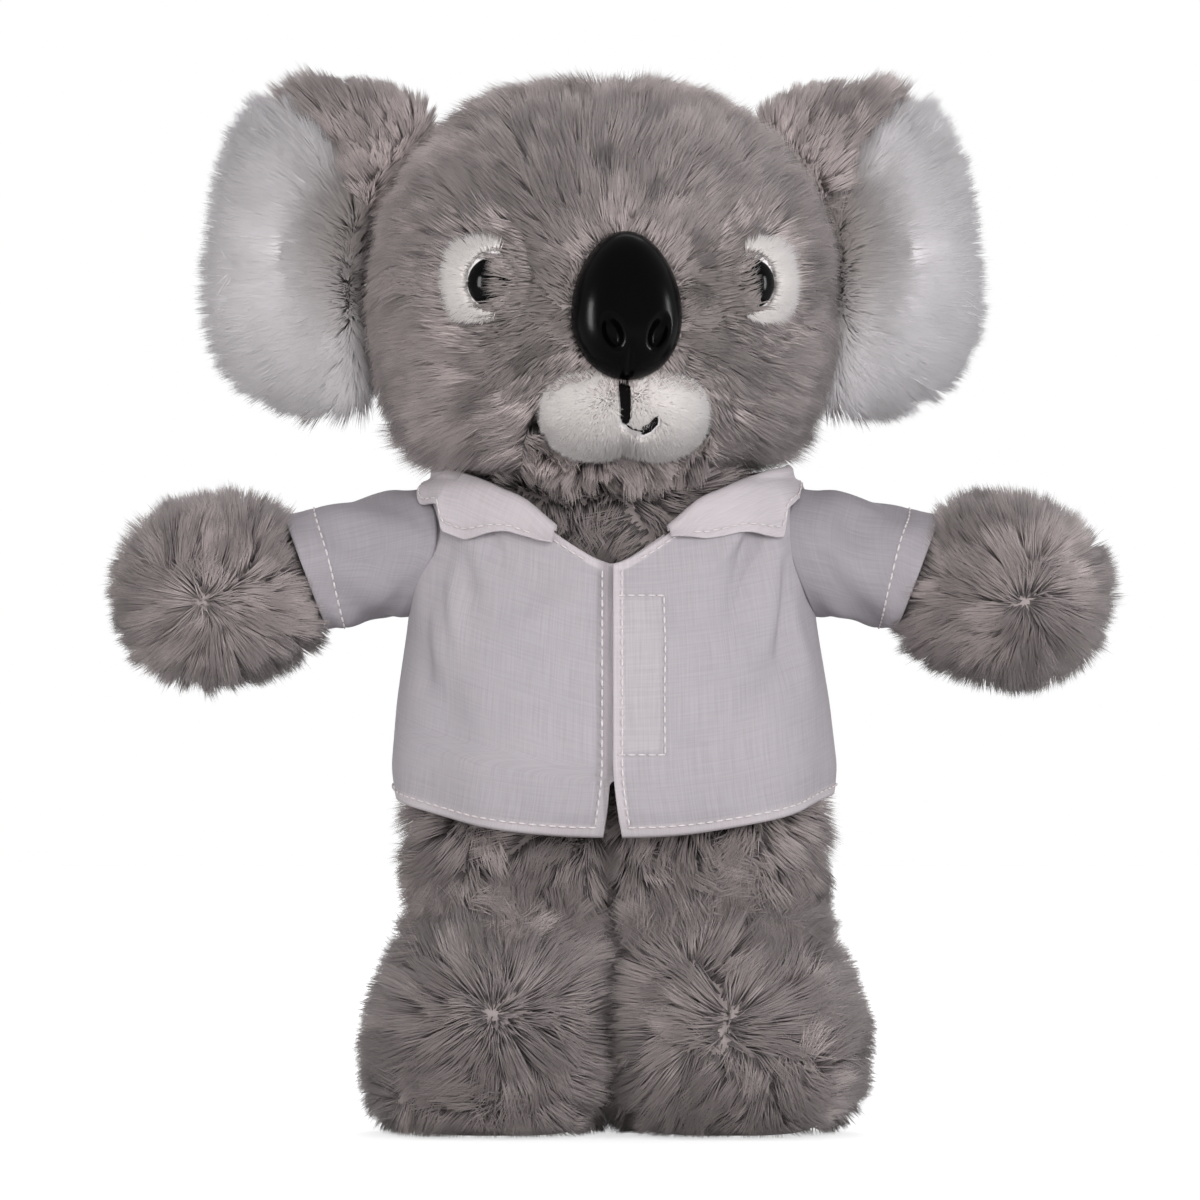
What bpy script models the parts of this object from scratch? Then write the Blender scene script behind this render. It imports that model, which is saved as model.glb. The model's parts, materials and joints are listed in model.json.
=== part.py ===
# Plush koala in a white shirt, standing with its arms held out.
# Metres, +Z up, the face towards -Y. The origin is on the floor, under the middle of the toy.
# Left and right are the toy's own: its left arm is on +X.

import math

import bmesh
import bpy
from mathutils import Matrix, Vector

# Fits
GAP = 0.0003  # between two pieces that touch
OVERRUN = 0.004  # how far a cutter runs past what it cuts
SWING_GAP = 0.0009  # round a shoulder or an ear's root, so that it can turn
THIGH_GAP = 0.0007  # round the thighs
FILL_GAP = 0.0009  # between a cover and its filling

# Torso
TORSO_HALF_WIDTH = 0.056
TORSO_HALF_DEPTH = 0.038
TORSO_FLOOR = 0.078  # the seat's height above the floor
TORSO_HEIGHT = 0.1085  # from the seat to the neck
TORSO_WALL = 0.005  # plush fabric with its pile pressed down
TORSO_ROUNDNESS = 2.3
# share of the height, share of the half width, share of the half depth
TORSO_SHARES = (
    (0.00, 0.66, 0.60),
    (0.035, 0.83, 0.80),
    (0.10, 0.945, 0.94),
    (0.22, 1.00, 1.00),
    (0.40, 0.975, 0.985),
    (0.58, 0.93, 0.93),
    (0.74, 0.90, 0.83),
    (0.86, 0.88, 0.74),
    (0.94, 0.85, 0.67),
    (0.98, 0.80, 0.61),
    (1.00, 0.70, 0.52),
)

# Head
HEAD_HALF_WIDTH = 0.0655
HEAD_FRONT_DEPTH = 0.054
HEAD_BACK_DEPTH = 0.051
HEAD_MIDDLE = 0.0495  # height of its widest part above the neck seam
HEAD_CROWN = 0.0605  # from the widest part to the top
HEAD_WALL = 0.006
HEAD_ROUNDNESS = 2.3  # seen from above
CROWN_ROUNDNESS = 2.2  # seen from the front, above the widest part
CHEEK_ROUNDNESS = 3.5  # and below it
NECK_OFFSET = -0.0034  # the neck stands a little to the toy's right
HEAD_YAW = math.radians(7)  # the face looks a little to the toy's left
NECK_DISC_SHARE = 0.44  # of the head's width that rests on the neck
NECK_HOLE_RADIUS = 0.017
SNOUT_DEPTH = 0.012
SNOUT_RADIUS = 0.024
SNOUT_HEIGHT = 0.036  # above the neck seam

# Nose, a hard moulding with a shank through the face and a lock washer inside
NOSE_HALF_WIDTH = 0.0152
NOSE_HALF_HEIGHT = 0.0207
NOSE_DEPTH = 0.0155
NOSE_HEIGHT = 0.0438  # above the neck seam
NOSE_SEAT = 0.0575  # its flat back, in front of the neck's axis
NOSE_TILT = math.radians(8)
NOSE_EGG = 0.13  # how much wider the lower half is
# depth from the flat back, share of the outline's size
NOSE_DOME_SHARES = (
    (-0.08, 0.80),
    (0.00, 0.93),
    (0.14, 1.00),
    (0.34, 0.985),
    (0.56, 0.90),
    (0.76, 0.73),
    (0.90, 0.50),
    (0.98, 0.25),
    (1.00, 0.08),
)
NOSTRIL_SPREAD = 0.0060
NOSTRIL_DROP = 0.0068
NOSTRIL_HALF_WIDTH = 0.0026
NOSTRIL_HALF_HEIGHT = 0.0052
NOSTRIL_HALF_DEPTH = 0.0042
NOSE_GROOVE_RADIUS = 0.0012
NOSE_SHANK_RADIUS = 0.003
NOSE_SHANK_LENGTH = 0.014
NOSE_WASHER_RADIUS = 0.008

# Eyes, made the same way
EYE_RADIUS = 0.0065
EYE_DOME = 0.0048
EYE_SPREAD = 0.0362  # from the face's middle
EYE_HEIGHT = 0.0506  # above the neck seam
EYE_SEAT = 0.0503  # in front of the neck's axis
EYE_TURN = math.radians(30)
EYE_SHANK_RADIUS = 0.002
EYE_SHANK_LENGTH = 0.014
EYE_WASHER_RADIUS = 0.0055
WASHER_THICKNESS = 0.0015
NOSE_WASHER_SETBACK = 0.0075  # behind the nose's flat back
EYE_WASHER_SETBACK = 0.0102
SHANK_CLEARANCE = 0.0003
PATCH_HALF_WIDTH = 0.0092
PATCH_HALF_HEIGHT = 0.0112
PATCH_HALF_DEPTH = 0.0036
PATCH_SHIFT = 0.0028  # outwards from the eye

# Muzzle, two stuffed lobes of short white plush, with the mouth stitched on it
MUZZLE_HEIGHT = 0.0142  # above the neck seam
MUZZLE_SEAT = 0.0555  # in front of the neck's axis
LOBE_SPREAD = 0.0092
LOBE_HALF_WIDTH = 0.0138
LOBE_HALF_DEPTH = 0.0092
LOBE_HALF_HEIGHT = 0.0116
STITCH_RADIUS = 0.0009
LIP_DROP = 0.0100  # length of the upright stitch
SMILE_REACH = 0.0082
SMILE_END_SHARE = 0.3  # of its reach, how far up it ends
SMILE_DIP_SHARE = 0.22

# Ears
EAR_HALF_WIDTH = 0.0385
EAR_HALF_THICKNESS = 0.009
EAR_HALF_HEIGHT = 0.0505
EAR_HINGE_OUT = 0.0605  # from the neck's axis
EAR_HINGE_BACK = 0.012
EAR_HINGE_HEIGHT = 0.0535  # above the neck seam
EAR_LEAN = math.radians(12)
EAR_CENTRE_OUT = 0.0115  # of the pad, from the hinge line
EAR_CENTRE_UP = 0.0075
EAR_ROUNDNESS = 2.2
EAR_SWING = math.radians(15)  # each way, for which its root is cut
EAR_FOLD_SLANT = math.radians(45)  # the grey lobe's edge, square to the hinge at 0
EAR_FOLD_DISTANCE = 0.010  # of that edge from the pad's middle
# depth from the pad's middle, share of its outline
EAR_PAD_SHARES = (
    (-1.00, 0.45),
    (-0.72, 0.86),
    (-0.30, 0.985),
    (0.30, 0.985),
    (0.72, 0.86),
    (1.00, 0.45),
)

# Arms: the shoulder is a ball in a dish of the torso
SHOULDER_OUT = 0.060
SHOULDER_DROP = 0.0235  # below the neck
ARM_SLOPE = math.radians(11.7)
ARM_BALL_RADIUS = 0.014
ARM_WAIST_RADIUS = 0.0125
ARM_CUFF_RADIUS = 0.0148
PAW_RADIUS = 0.028
PAW_DEPTH_SHARE = 0.86
ARM_REACH = 0.0824  # from the shoulder to the paw's tip
PAW_SHARE = 0.46  # of the way from the cuff to the tip, where the paw is widest
CUFF_REACH = 0.0265  # from the shoulder to where the sleeve ends
ARM_WALL = 0.0045
INNER_START_SHARE = 0.8  # of the ball's radius, where the arm's filling starts
INNER_TIP_SHARE = 0.88  # of the reach, where the filling starts to close
BALL_DEGREES = (-66, -36, -8, 20)
WRIST_SHARES = ((0.16, 0.42), (0.42, 0.80))  # of the way to the widest part, of the swell
PAW_DEGREES = (-8, 18, 40, 60, 77)

# Legs: the thigh's top is round about the hip's axis
HIP_HEIGHT = 0.080
THIGH_RADIUS = 0.026
LEG_HALF_WIDTH = 0.0297
FOOT_OUTER = 0.0712  # from the middle of the toy
FOOT_TOE = 0.0455  # in front of the hip's axis
FOOT_HEEL = 0.030
FOOT_HEIGHT = 0.057
LEG_WALL = 0.005
LEG_ROUNDNESS = 2.5
THIGH_SHARES = (0.975, 0.82, 0.56, 0.28)  # heights above the hip's axis, of the thigh's radius
THIGH_DRAW_SHARE = 0.26  # of the leg's width, towards its round top
FILLING_TOP_SHARE = 0.6  # of the thigh's radius
LEG_MOUTH_SHARE = 0.42
# share of the foot's height, share of its swell
FOOT_SHARES = (
    (1.00, 0.08),
    (0.86, 0.42),
    (0.66, 0.82),
    (0.44, 1.00),
    (0.24, 0.94),
    (0.10, 0.68),
    (0.00, 0.30),
)
SOLE_EDGE_SHARE = 0.24  # of the foot's height, over which the sole draws in
SOLE_DRAW_SHARE = 0.12  # of the leg's width
LAP_ANGLE = math.radians(76)  # the front of the seat is cut away for the thighs

# Shirt
CLOTH = 0.0008
TAPE = 0.0009  # hook tape and loop tape
SHIRT_SLACK = 0.0008
SHIRT_FLARE = 0.0018
HEM_SIDE = 0.0955  # the hem's height above the floor, at the sides
HEM_FRONT_DROP = 0.0115
HEM_BACK_DROP = 0.004
FOLD_DEPTH = 0.0009
FOLD_COUNT = 9
SPLIT_HALF = 0.0024  # the fronts part at the hem
SPLIT_HEIGHT = 0.020
NECKLINE_LOW_DROP = 0.0275  # the bottom of the V, below the neck
NECKLINE_HIGH_DROP = 0.0027
SIDE_SEAM_GAP = math.radians(0.6)
SLEEVE_RADIUS = 0.0168
SLEEVE_ROOT_RADIUS = 0.0182
SLEEVE_TOP_SHARE = 0.90  # the root ring is flatter above the arm, under the collar
ARMHOLE_RADIUS = 0.0165  # inside the sleeve's root
ARMHOLE_DROP = 0.0020
ARMHOLE_DEPTH = 0.017
SLEEVE_FLARE_SHARES = ((0, 1), (0.25, 0.55), (0.55, 0.15), (0.8, 0), (1, 0))
CUFF_TILT = math.radians(9)
TAPE_WIDTH = 0.0126
TAPE_LENGTH = 0.043
TAPE_BOTTOM = 0.1075  # above the floor
TAPE_EDGE = 0.0012  # from the front's edge
UNDERLAP_BOTTOM = 0.0985  # where the right front starts to reach under the left one
UNDERLAP_RAMP = 0.007
UNDERLAP_STEP = 0.0085  # it steps inwards from here to the lead, beside the front's edge
UNDERLAP_LEAD = 0.003

# Neckline: turn from the middle of the front to the middle of the back, height between low and high
NECKLINE_SHARES = (
    (0.0, 0.0),
    (0.076, 0.37),
    (0.131, 0.63),
    (0.222, 0.80),
    (0.333, 0.93),
    (0.500, 1.0),
    (0.620, 0.95),
    (0.740, 0.90),
    (1.000, 0.895),
)

# Collar, half of it from its front point to the middle of the back: turn, stand and fall
COLLAR_STAND = 0.0032
COLLAR_FALL = 0.0106
COLLAR_SPACE = 0.0011  # between the fall and the shirt
COLLAR_STATION_SHARES = (
    (0.076, 0.55, 0.36),
    (0.131, 0.90, 0.95),
    (0.190, 1.00, 1.25),
    (0.245, 1.00, 1.50),
    (0.300, 1.00, 1.58),
    (0.322, 1.00, 0.93),
    (0.392, 1.00, 0.86),
    (0.445, 1.00, 0.55),
    (0.500, 1.00, 0.48),
    (0.555, 1.00, 0.55),
    (0.610, 1.00, 0.84),
    (0.680, 1.00, 0.90),
    (0.760, 1.00, 0.90),
    (0.840, 1.00, 0.90),
    (0.920, 1.00, 0.90),
    (1.000, 1.00, 0.90),
)

SIDES = 22
INNER_SIDES = 14

# Worked out from the sizes above
NECK_HEIGHT = TORSO_FLOOR + TORSO_HEIGHT
NECK_SEAM = NECK_HEIGHT + GAP
SHOULDER_HEIGHT = NECK_HEIGHT - SHOULDER_DROP
NECKLINE_LOW = NECK_HEIGHT - NECKLINE_LOW_DROP
NECKLINE_HIGH = NECK_HEIGHT - NECKLINE_HIGH_DROP
AXIS_SETBACK = (NOSE_SEAT + NOSE_DEPTH - HEAD_BACK_DEPTH) / 2
HOOK_INSET = CLOTH + GAP + TAPE / 2
LOOP_INSET = HOOK_INSET + TAPE + GAP
UNDERLAP_INSET = LOOP_INSET + TAPE / 2 + GAP
SHIRT_EASE = UNDERLAP_INSET + CLOTH + SHIRT_SLACK


# Scene and objects

def clear_scene():
    for old in list(bpy.data.objects):
        bpy.data.objects.remove(old)


def material(name, colour, roughness, metallic=0.0):
    made = bpy.data.materials.new(name)
    made.use_nodes = True
    shader = made.node_tree.nodes["Principled BSDF"]
    shader.inputs["Base Color"].default_value = (*colour, 1)
    shader.inputs["Roughness"].default_value = roughness
    shader.inputs["Metallic"].default_value = metallic
    return made


def frame_at(name, parent, place, turn=None):
    # An empty that carries pieces, on a joint's axis where there is one
    made = bpy.data.objects.new(name, None)
    made.empty_display_size = GAP
    bpy.context.scene.collection.objects.link(made)
    made.parent = parent
    made.matrix_local = Matrix.Translation(place) @ (turn or Matrix.Identity(4))
    return made


def add_object(name, bm, parent, finish):
    bmesh.ops.recalc_face_normals(bm, faces=bm.faces)
    mesh = bpy.data.meshes.new(name)
    bm.to_mesh(mesh)
    bm.free()
    mesh.shade_smooth()
    mesh.set_sharp_from_angle(angle=math.radians(50))
    made = bpy.data.objects.new(name, mesh)
    bpy.context.scene.collection.objects.link(made)
    made.parent = parent
    if finish:
        mesh.materials.append(finish)
    return made


def as_cutter(tool):
    tool.hide_render = True
    tool.display_type = "WIRE"
    return tool


def combine(target, tool, operation):
    as_cutter(tool)
    step = target.modifiers.new(operation.lower() + "_" + tool.name, "BOOLEAN")
    step.operation = operation
    step.solver = "EXACT"
    step.object = tool


def cut(target, *tools):
    for tool in tools:
        combine(target, tool, "DIFFERENCE")


# Shapes

def oval(sides, across, deep, roundness):
    # Points of a superellipse with those half sizes, anticlockwise from +X
    points = []
    for k in range(sides):
        angle = 2 * math.pi * k / sides
        c, s = math.cos(angle), math.sin(angle)
        x = across * math.copysign(abs(c) ** (2 / roundness), c)
        y = deep * math.copysign(abs(s) ** (2 / roundness), s)
        points.append((x, y))
    return points


def loft(rings):
    # A closed skin through rings of points, with a face over each end
    bm = bmesh.new()
    loops = []
    for ring in rings:
        verts = [bm.verts.new(point) for point in ring]
        edges = [bm.edges.new((a, b)) for a, b in zip(verts, verts[1:] + verts[:1])]
        loops.append((verts, edges))
    for lower, upper in zip(loops, loops[1:]):
        bmesh.ops.bridge_loops(bm, edges=lower[1] + upper[1])
    bm.faces.new(loops[0][0])
    bm.faces.new(loops[-1][0])
    return bm


def ball(name, parent, half_sizes, place, sides=SIDES, finish=None, turn=None):
    bm = bmesh.new()
    bmesh.ops.create_uvsphere(bm, u_segments=sides, v_segments=sides // 2, radius=1)
    bmesh.ops.scale(bm, vec=half_sizes, verts=bm.verts)
    if turn:
        bmesh.ops.transform(bm, matrix=turn, verts=bm.verts)
    bmesh.ops.translate(bm, vec=place, verts=bm.verts)
    return add_object(name, bm, parent, finish)


def rod(name, parent, radius, start, end, axis, sides=SIDES, finish=None):
    # A cylinder along one axis of its parent, from start to end
    bm = bmesh.new()
    turn = Vector((0, 0, 1)).rotation_difference(axis).to_matrix().to_4x4()
    bmesh.ops.create_cone(
        bm, cap_ends=True, segments=sides, radius1=radius, radius2=radius, depth=end - start,
        matrix=Matrix.Translation(axis * (start + end) / 2) @ turn,
    )
    return add_object(name, bm, parent, finish)


def block(name, parent, low, high, turn=None):
    bm = bmesh.new()
    bmesh.ops.create_cube(bm, size=1)
    size = [b - a for a, b in zip(low, high)]
    middle = [(a + b) / 2 for a, b in zip(low, high)]
    bmesh.ops.scale(bm, vec=size, verts=bm.verts)
    bmesh.ops.translate(bm, vec=middle, verts=bm.verts)
    if turn:
        bmesh.ops.transform(bm, matrix=turn, verts=bm.verts)
    return add_object(name, bm, parent, None)


def sheet(name, parent, grid, thickness, finish):
    # A sheet of cloth through rows of points, made solid on its inner side
    bm = bmesh.new()
    rows = [[bm.verts.new(point) for point in row] for row in grid]
    for lower, upper in zip(rows, rows[1:]):
        for k in range(len(lower) - 1):
            bm.faces.new((lower[k], lower[k + 1], upper[k + 1], upper[k]))
    made = add_object(name, bm, parent, finish)
    wall = made.modifiers.new("thickness", "SOLIDIFY")
    wall.thickness = thickness
    wall.offset = 0
    wall.use_even_offset = True
    return made


def blend_at(table, share):
    # A table of shares, read between its rows
    for low, high in zip(table, table[1:]):
        if share <= high[0]:
            part = max(0.0, (share - low[0]) / (high[0] - low[0]))
            return [a + part * (b - a) for a, b in zip(low, high)]
    return list(table[-1])


# Torso

def torso_size(height):
    # Half width and half depth at a height above the floor
    share = (height - TORSO_FLOOR) / TORSO_HEIGHT
    _, width, depth = blend_at(TORSO_SHARES, max(0.0, share))
    return TORSO_HALF_WIDTH * width, TORSO_HALF_DEPTH * depth


def torso_form(name, parent, inset, sides, finish=None):
    rings = []
    for share, width, depth in TORSO_SHARES:
        height = TORSO_FLOOR + inset + share * (TORSO_HEIGHT - 2 * inset)
        across, deep = TORSO_HALF_WIDTH * width - inset, TORSO_HALF_DEPTH * depth - inset
        points = oval(sides, across, deep, TORSO_ROUNDNESS)
        rings.append([(x, y, height) for x, y in points])
    return add_object(name, loft(rings), parent, finish)


def make_torso(koala, shoulders, hips, neck, plush, fibre):
    cover = torso_form("torso_cover", koala, 0, SIDES, plush)
    filling = torso_form("torso_filling", koala, TORSO_WALL + FILL_GAP, INNER_SIDES, fibre)
    cut(cover, torso_form("torso_hollow", koala, TORSO_WALL, INNER_SIDES))
    upright = Vector((0, 0, 1))
    cut(cover, rod("neck_hole", neck, NECK_HOLE_RADIUS, -TORSO_WALL - OVERRUN, OVERRUN, upright))
    reach = TORSO_HALF_WIDTH + OVERRUN
    thigh_room = rod("thigh_room", hips, THIGH_RADIUS + THIGH_GAP, -reach, reach, Vector((1, 0, 0)))
    lap_turn = Matrix.Rotation(math.pi / 2 - LAP_ANGLE, 4, "X")
    lap_top = THIGH_RADIUS + THIGH_GAP
    lap_room = block(
        "lap_room", hips,
        (-reach, -2 * TORSO_HALF_DEPTH, -lap_top), (reach, 0, lap_top), lap_turn,
    )
    for piece in (cover, filling):
        cut(piece, thigh_room, lap_room)
        for side, shoulder in shoulders.items():
            radius = ARM_BALL_RADIUS + SWING_GAP
            dish = ball(f"{side}_dish_in_{piece.name}", shoulder, (radius,) * 3, (0, 0, 0), 16)
            cut(piece, dish)


# Head, in a frame whose origin is on the neck seam

def head_rings(grow, floor):
    rings = []
    steps = 7
    cheek_end = math.acos(NECK_DISC_SHARE ** (CHEEK_ROUNDNESS / 2))
    for k in range(-steps, steps + 1):
        if k < 0:
            angle = cheek_end * k / steps
            roundness, reach = CHEEK_ROUNDNESS, HEAD_MIDDLE - floor
            reach /= math.sin(cheek_end) ** (2 / CHEEK_ROUNDNESS)
        else:
            angle = math.radians(87) * k / steps
            roundness, reach = CROWN_ROUNDNESS, HEAD_CROWN + grow
        rise = math.copysign(abs(math.sin(angle)) ** (2 / roundness), angle) * reach
        width = math.cos(angle) ** (2 / roundness)
        rings.append((HEAD_MIDDLE + rise, width))
    return rings


def snout_rise(x, z):
    away = (x * x + (z - SNOUT_HEIGHT) ** 2) / (2 * SNOUT_RADIUS * SNOUT_RADIUS)
    return SNOUT_DEPTH * math.exp(-away)


def head_form(name, parent, grow, floor, sides, finish=None):
    rings = []
    for height, share in head_rings(grow, floor):
        across = (HEAD_HALF_WIDTH + grow) * share
        front = (HEAD_FRONT_DEPTH + grow) * share
        back = (HEAD_BACK_DEPTH + grow) * share
        ring = []
        for x, y in oval(sides, across, 1, HEAD_ROUNDNESS):
            y *= front if y < 0 else back
            if y < 0:
                y -= snout_rise(x, height) * min(1, -y / front * 1.5)
            ring.append((x, y, height))
        rings.append(ring)
    return add_object(name, loft(rings), parent, finish)


def nose_outline(scale):
    points = []
    for k in range(SIDES):
        angle = 2 * math.pi * k / SIDES
        x = NOSE_HALF_WIDTH * math.cos(angle) * (1 - NOSE_EGG * math.sin(angle))
        points.append((x * scale, NOSE_HALF_HEIGHT * math.sin(angle) * scale))
    return points


def nose_form(name, parent, grow, finish=None):
    # The nose's own frame has its flat back at y = 0 and the face's front at -y
    rings = []
    for depth, share in NOSE_DOME_SHARES:
        scale = share + grow / NOSE_HALF_WIDTH
        y = -depth * (NOSE_DEPTH + grow) + (grow if depth < 0 else 0)
        rings.append([(x, y, z) for x, z in nose_outline(scale)])
    return add_object(name, loft(rings), parent, finish)


def shank_set(label, seat, radius, length, washer_radius, start, plastic):
    # A shank that points into the face, the washer that locks it, and the room for both
    back = Vector((0, 1, 0))
    loose = radius + SHANK_CLEARANCE
    shank = rod(f"{label}_shank", seat, radius, -GAP, length, back, 12)
    shank_room = rod(f"{label}_shank_room", seat, loose, -GAP, length + GAP, back, 12)
    end = start + WASHER_THICKNESS
    washer = rod(f"{label}_washer", seat, washer_radius, start, end, back, 16, plastic)
    cut(washer, rod(f"{label}_washer_hole", seat, loose, start - GAP, end + GAP, back, 12))
    washer_room = rod(
        f"{label}_washer_room", seat, washer_radius + GAP, start - GAP, end + GAP, back, 16
    )
    return shank, shank_room, washer_room


def make_nose(neck, gloss, plastic):
    seat = frame_at(
        "nose_seat", neck, (0, -NOSE_SEAT, NOSE_HEIGHT), Matrix.Rotation(-NOSE_TILT, 4, "X")
    )
    nose = nose_form("nose", seat, 0, gloss)
    shank, *rooms = shank_set(
        "nose", seat, NOSE_SHANK_RADIUS, NOSE_SHANK_LENGTH, NOSE_WASHER_RADIUS,
        NOSE_WASHER_SETBACK, plastic,
    )
    combine(nose, shank, "UNION")
    for side in (-1, 1):
        nostril = ball(
            "nostril_left" if side > 0 else "nostril_right", seat,
            (NOSTRIL_HALF_WIDTH, NOSTRIL_HALF_DEPTH, NOSTRIL_HALF_HEIGHT),
            (side * NOSTRIL_SPREAD, -NOSE_DEPTH * NOSE_DOME_SHARES[-4][0], -NOSTRIL_DROP),
            12, None, Matrix.Rotation(side * math.radians(12), 4, "Y"),
        )
        cut(nose, nostril)
    groove = rod(
        "nose_groove", seat, NOSE_GROOVE_RADIUS, -NOSE_DEPTH, 0, Vector((0, 1, 0)), 8
    )
    groove.location = (0, 0, -NOSE_HALF_HEIGHT)
    cut(nose, groove)
    return [nose_form("nose_room", seat, GAP), *rooms[:-1]], rooms[-1:]


def make_eye(side, sign, neck, gloss, white, plastic):
    turn = Matrix.Rotation(sign * EYE_TURN, 4, "Z")
    seat = frame_at(f"{side}_eye_seat", neck, (sign * EYE_SPREAD, -EYE_SEAT, EYE_HEIGHT), turn)
    sizes = (EYE_RADIUS, EYE_DOME, EYE_RADIUS)
    eye = ball(f"{side}_eye", seat, sizes, (0, 0, 0), 16, gloss)
    room = ball(f"{side}_eye_room", seat, [size + GAP for size in sizes], (0, 0, 0), 16)
    shank, *rooms = shank_set(
        f"{side}_eye", seat, EYE_SHANK_RADIUS, EYE_SHANK_LENGTH, EYE_WASHER_RADIUS,
        EYE_WASHER_SETBACK, plastic,
    )
    combine(eye, shank, "UNION")
    patch_sizes = (PATCH_HALF_WIDTH, PATCH_HALF_DEPTH, PATCH_HALF_HEIGHT)
    place = (sign * PATCH_SHIFT, 0, 0)
    patch = ball(f"{side}_eye_patch", seat, patch_sizes, place, 16, white)
    patch_room = ball(f"{side}_patch_room", seat, [size + GAP for size in patch_sizes], place, 16)
    cut(patch, room, rooms[0])
    return [room, patch_room, *rooms[:-1]], rooms[-1:]


def muzzle_form(name, neck, grow, finish=None):
    sizes = (LOBE_HALF_WIDTH + grow, LOBE_HALF_DEPTH + grow, LOBE_HALF_HEIGHT + grow)
    lobes = [
        ball(name if sign > 0 else name + "_right_lobe", neck, sizes,
             (sign * LOBE_SPREAD, -MUZZLE_SEAT, MUZZLE_HEIGHT), 20, finish)
        for sign in (1, -1)
    ]
    combine(lobes[0], lobes[1], "UNION")
    return lobes[0]


def muzzle_front(x, z):
    # How far in front of the neck's axis the muzzle's surface is
    across = (abs(x) - LOBE_SPREAD) / LOBE_HALF_WIDTH
    up = (z - MUZZLE_HEIGHT) / LOBE_HALF_HEIGHT
    inside = 1 - across ** 2 - up ** 2
    return MUZZLE_SEAT + LOBE_HALF_DEPTH * math.sqrt(max(0.0, inside))


def make_mouth(neck, thread):
    # One run of thread: down from the nose, then along the smile towards the toy's left
    steps = 4
    top = MUZZLE_HEIGHT + LIP_DROP * 0.55
    places = [(0, top - LIP_DROP * k / steps) for k in range(steps + 1)]
    for k in range(1, steps + 1):
        along = k / steps
        rise = SMILE_END_SHARE * along * along - SMILE_DIP_SHARE * math.sin(math.pi * along)
        places.append((SMILE_REACH * along, top - LIP_DROP + SMILE_REACH * rise))
    curve = bpy.data.curves.new("mouth_stitch", "CURVE")
    curve.dimensions = "3D"
    curve.bevel_depth = STITCH_RADIUS
    curve.bevel_resolution = 1
    curve.use_fill_caps = True
    line = curve.splines.new("POLY")
    line.points.add(len(places) - 1)
    proud = STITCH_RADIUS * 2 + GAP
    for point, (x, z) in zip(line.points, places):
        point.co = (x, -muzzle_front(x, z) - proud, z, 1)
    curve.materials.append(thread)
    made = bpy.data.objects.new("mouth_stitch", curve)
    bpy.context.scene.collection.objects.link(made)
    made.parent = neck


def make_head(neck, plush, white, fibre, gloss, plastic, thread):
    cover = head_form("head_cover", neck, 0, 0, SIDES, plush)
    inset = HEAD_WALL + FILL_GAP
    filling = head_form("head_filling", neck, -inset, inset, INNER_SIDES, fibre)
    cut(cover, head_form("head_hollow", neck, -HEAD_WALL, HEAD_WALL, INNER_SIDES))
    upright = Vector((0, 0, 1))
    cut(cover, rod("head_neck_hole", neck, NECK_HOLE_RADIUS, -OVERRUN, HEAD_WALL + OVERRUN, upright))
    rooms, washer_rooms = make_nose(neck, gloss, plastic)
    muzzle = muzzle_form("muzzle", neck, 0, white)
    cut(muzzle, rooms[0])
    rooms.append(muzzle_form("muzzle_room", neck, GAP))
    for side, sign in (("left", 1), ("right", -1)):
        eye_rooms, eye_washer_rooms = make_eye(side, sign, neck, gloss, white, plastic)
        rooms += eye_rooms
        washer_rooms += eye_washer_rooms
    cut(cover, *rooms)
    cut(filling, *rooms, *washer_rooms)
    make_mouth(neck, thread)


# Ears, each in a frame whose Z axis is its hinge line

def ear_pad(name, hinge, sign, finish):
    rings = []
    for depth, share in EAR_PAD_SHARES:
        points = oval(SIDES, EAR_HALF_WIDTH * share, EAR_HALF_HEIGHT * share, EAR_ROUNDNESS)
        y = depth * EAR_HALF_THICKNESS
        rings.append([(sign * (x + EAR_CENTRE_OUT), y, z + EAR_CENTRE_UP) for x, z in points])
    return add_object(name, loft(rings), hinge, finish)


def ear_front_room(name, hinge, sign, grow):
    # Everything in front of the ear's middle and below the slanting edge of the grey lobe
    far = EAR_HALF_WIDTH + EAR_HALF_HEIGHT
    turn = Matrix.Translation((sign * EAR_CENTRE_OUT, 0, EAR_CENTRE_UP)) @ Matrix.Rotation(
        -sign * EAR_FOLD_SLANT, 4, "Y"
    )
    top = EAR_FOLD_DISTANCE + grow
    return block(name, hinge, (-far, -far, -far), (far, grow, top), turn)


def make_ear(side, sign, neck, plush, white):
    place = (sign * EAR_HINGE_OUT, EAR_HINGE_BACK, EAR_HINGE_HEIGHT)
    lean = Matrix.Rotation(-sign * EAR_LEAN, 4, "Y")
    hinge = frame_at(f"{side}_ear_hinge", neck, place, lean)
    hinge_line = Matrix.Translation(place) @ lean
    head_rooms = []
    for turn in (-EAR_SWING, 0, EAR_SWING):
        room = head_form(f"{side}_ear_room", neck, SWING_GAP, -SWING_GAP, SIDES)
        swing = Matrix.Rotation(turn, 4, "Z")
        room.matrix_local = hinge_line @ swing @ hinge_line.inverted()
        head_rooms.append(room)
    back = ear_pad(f"{side}_ear_back", hinge, sign, plush)
    cut(back, ear_front_room(f"{side}_ear_front_room", hinge, sign, GAP), *head_rooms)
    front = ear_pad(f"{side}_ear_front", hinge, sign, white)
    combine(front, ear_front_room(f"{side}_ear_front_share", hinge, sign, 0), "INTERSECT")
    cut(front, *head_rooms)


# Arms, each in a frame at the shoulder with +X along the arm

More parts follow.
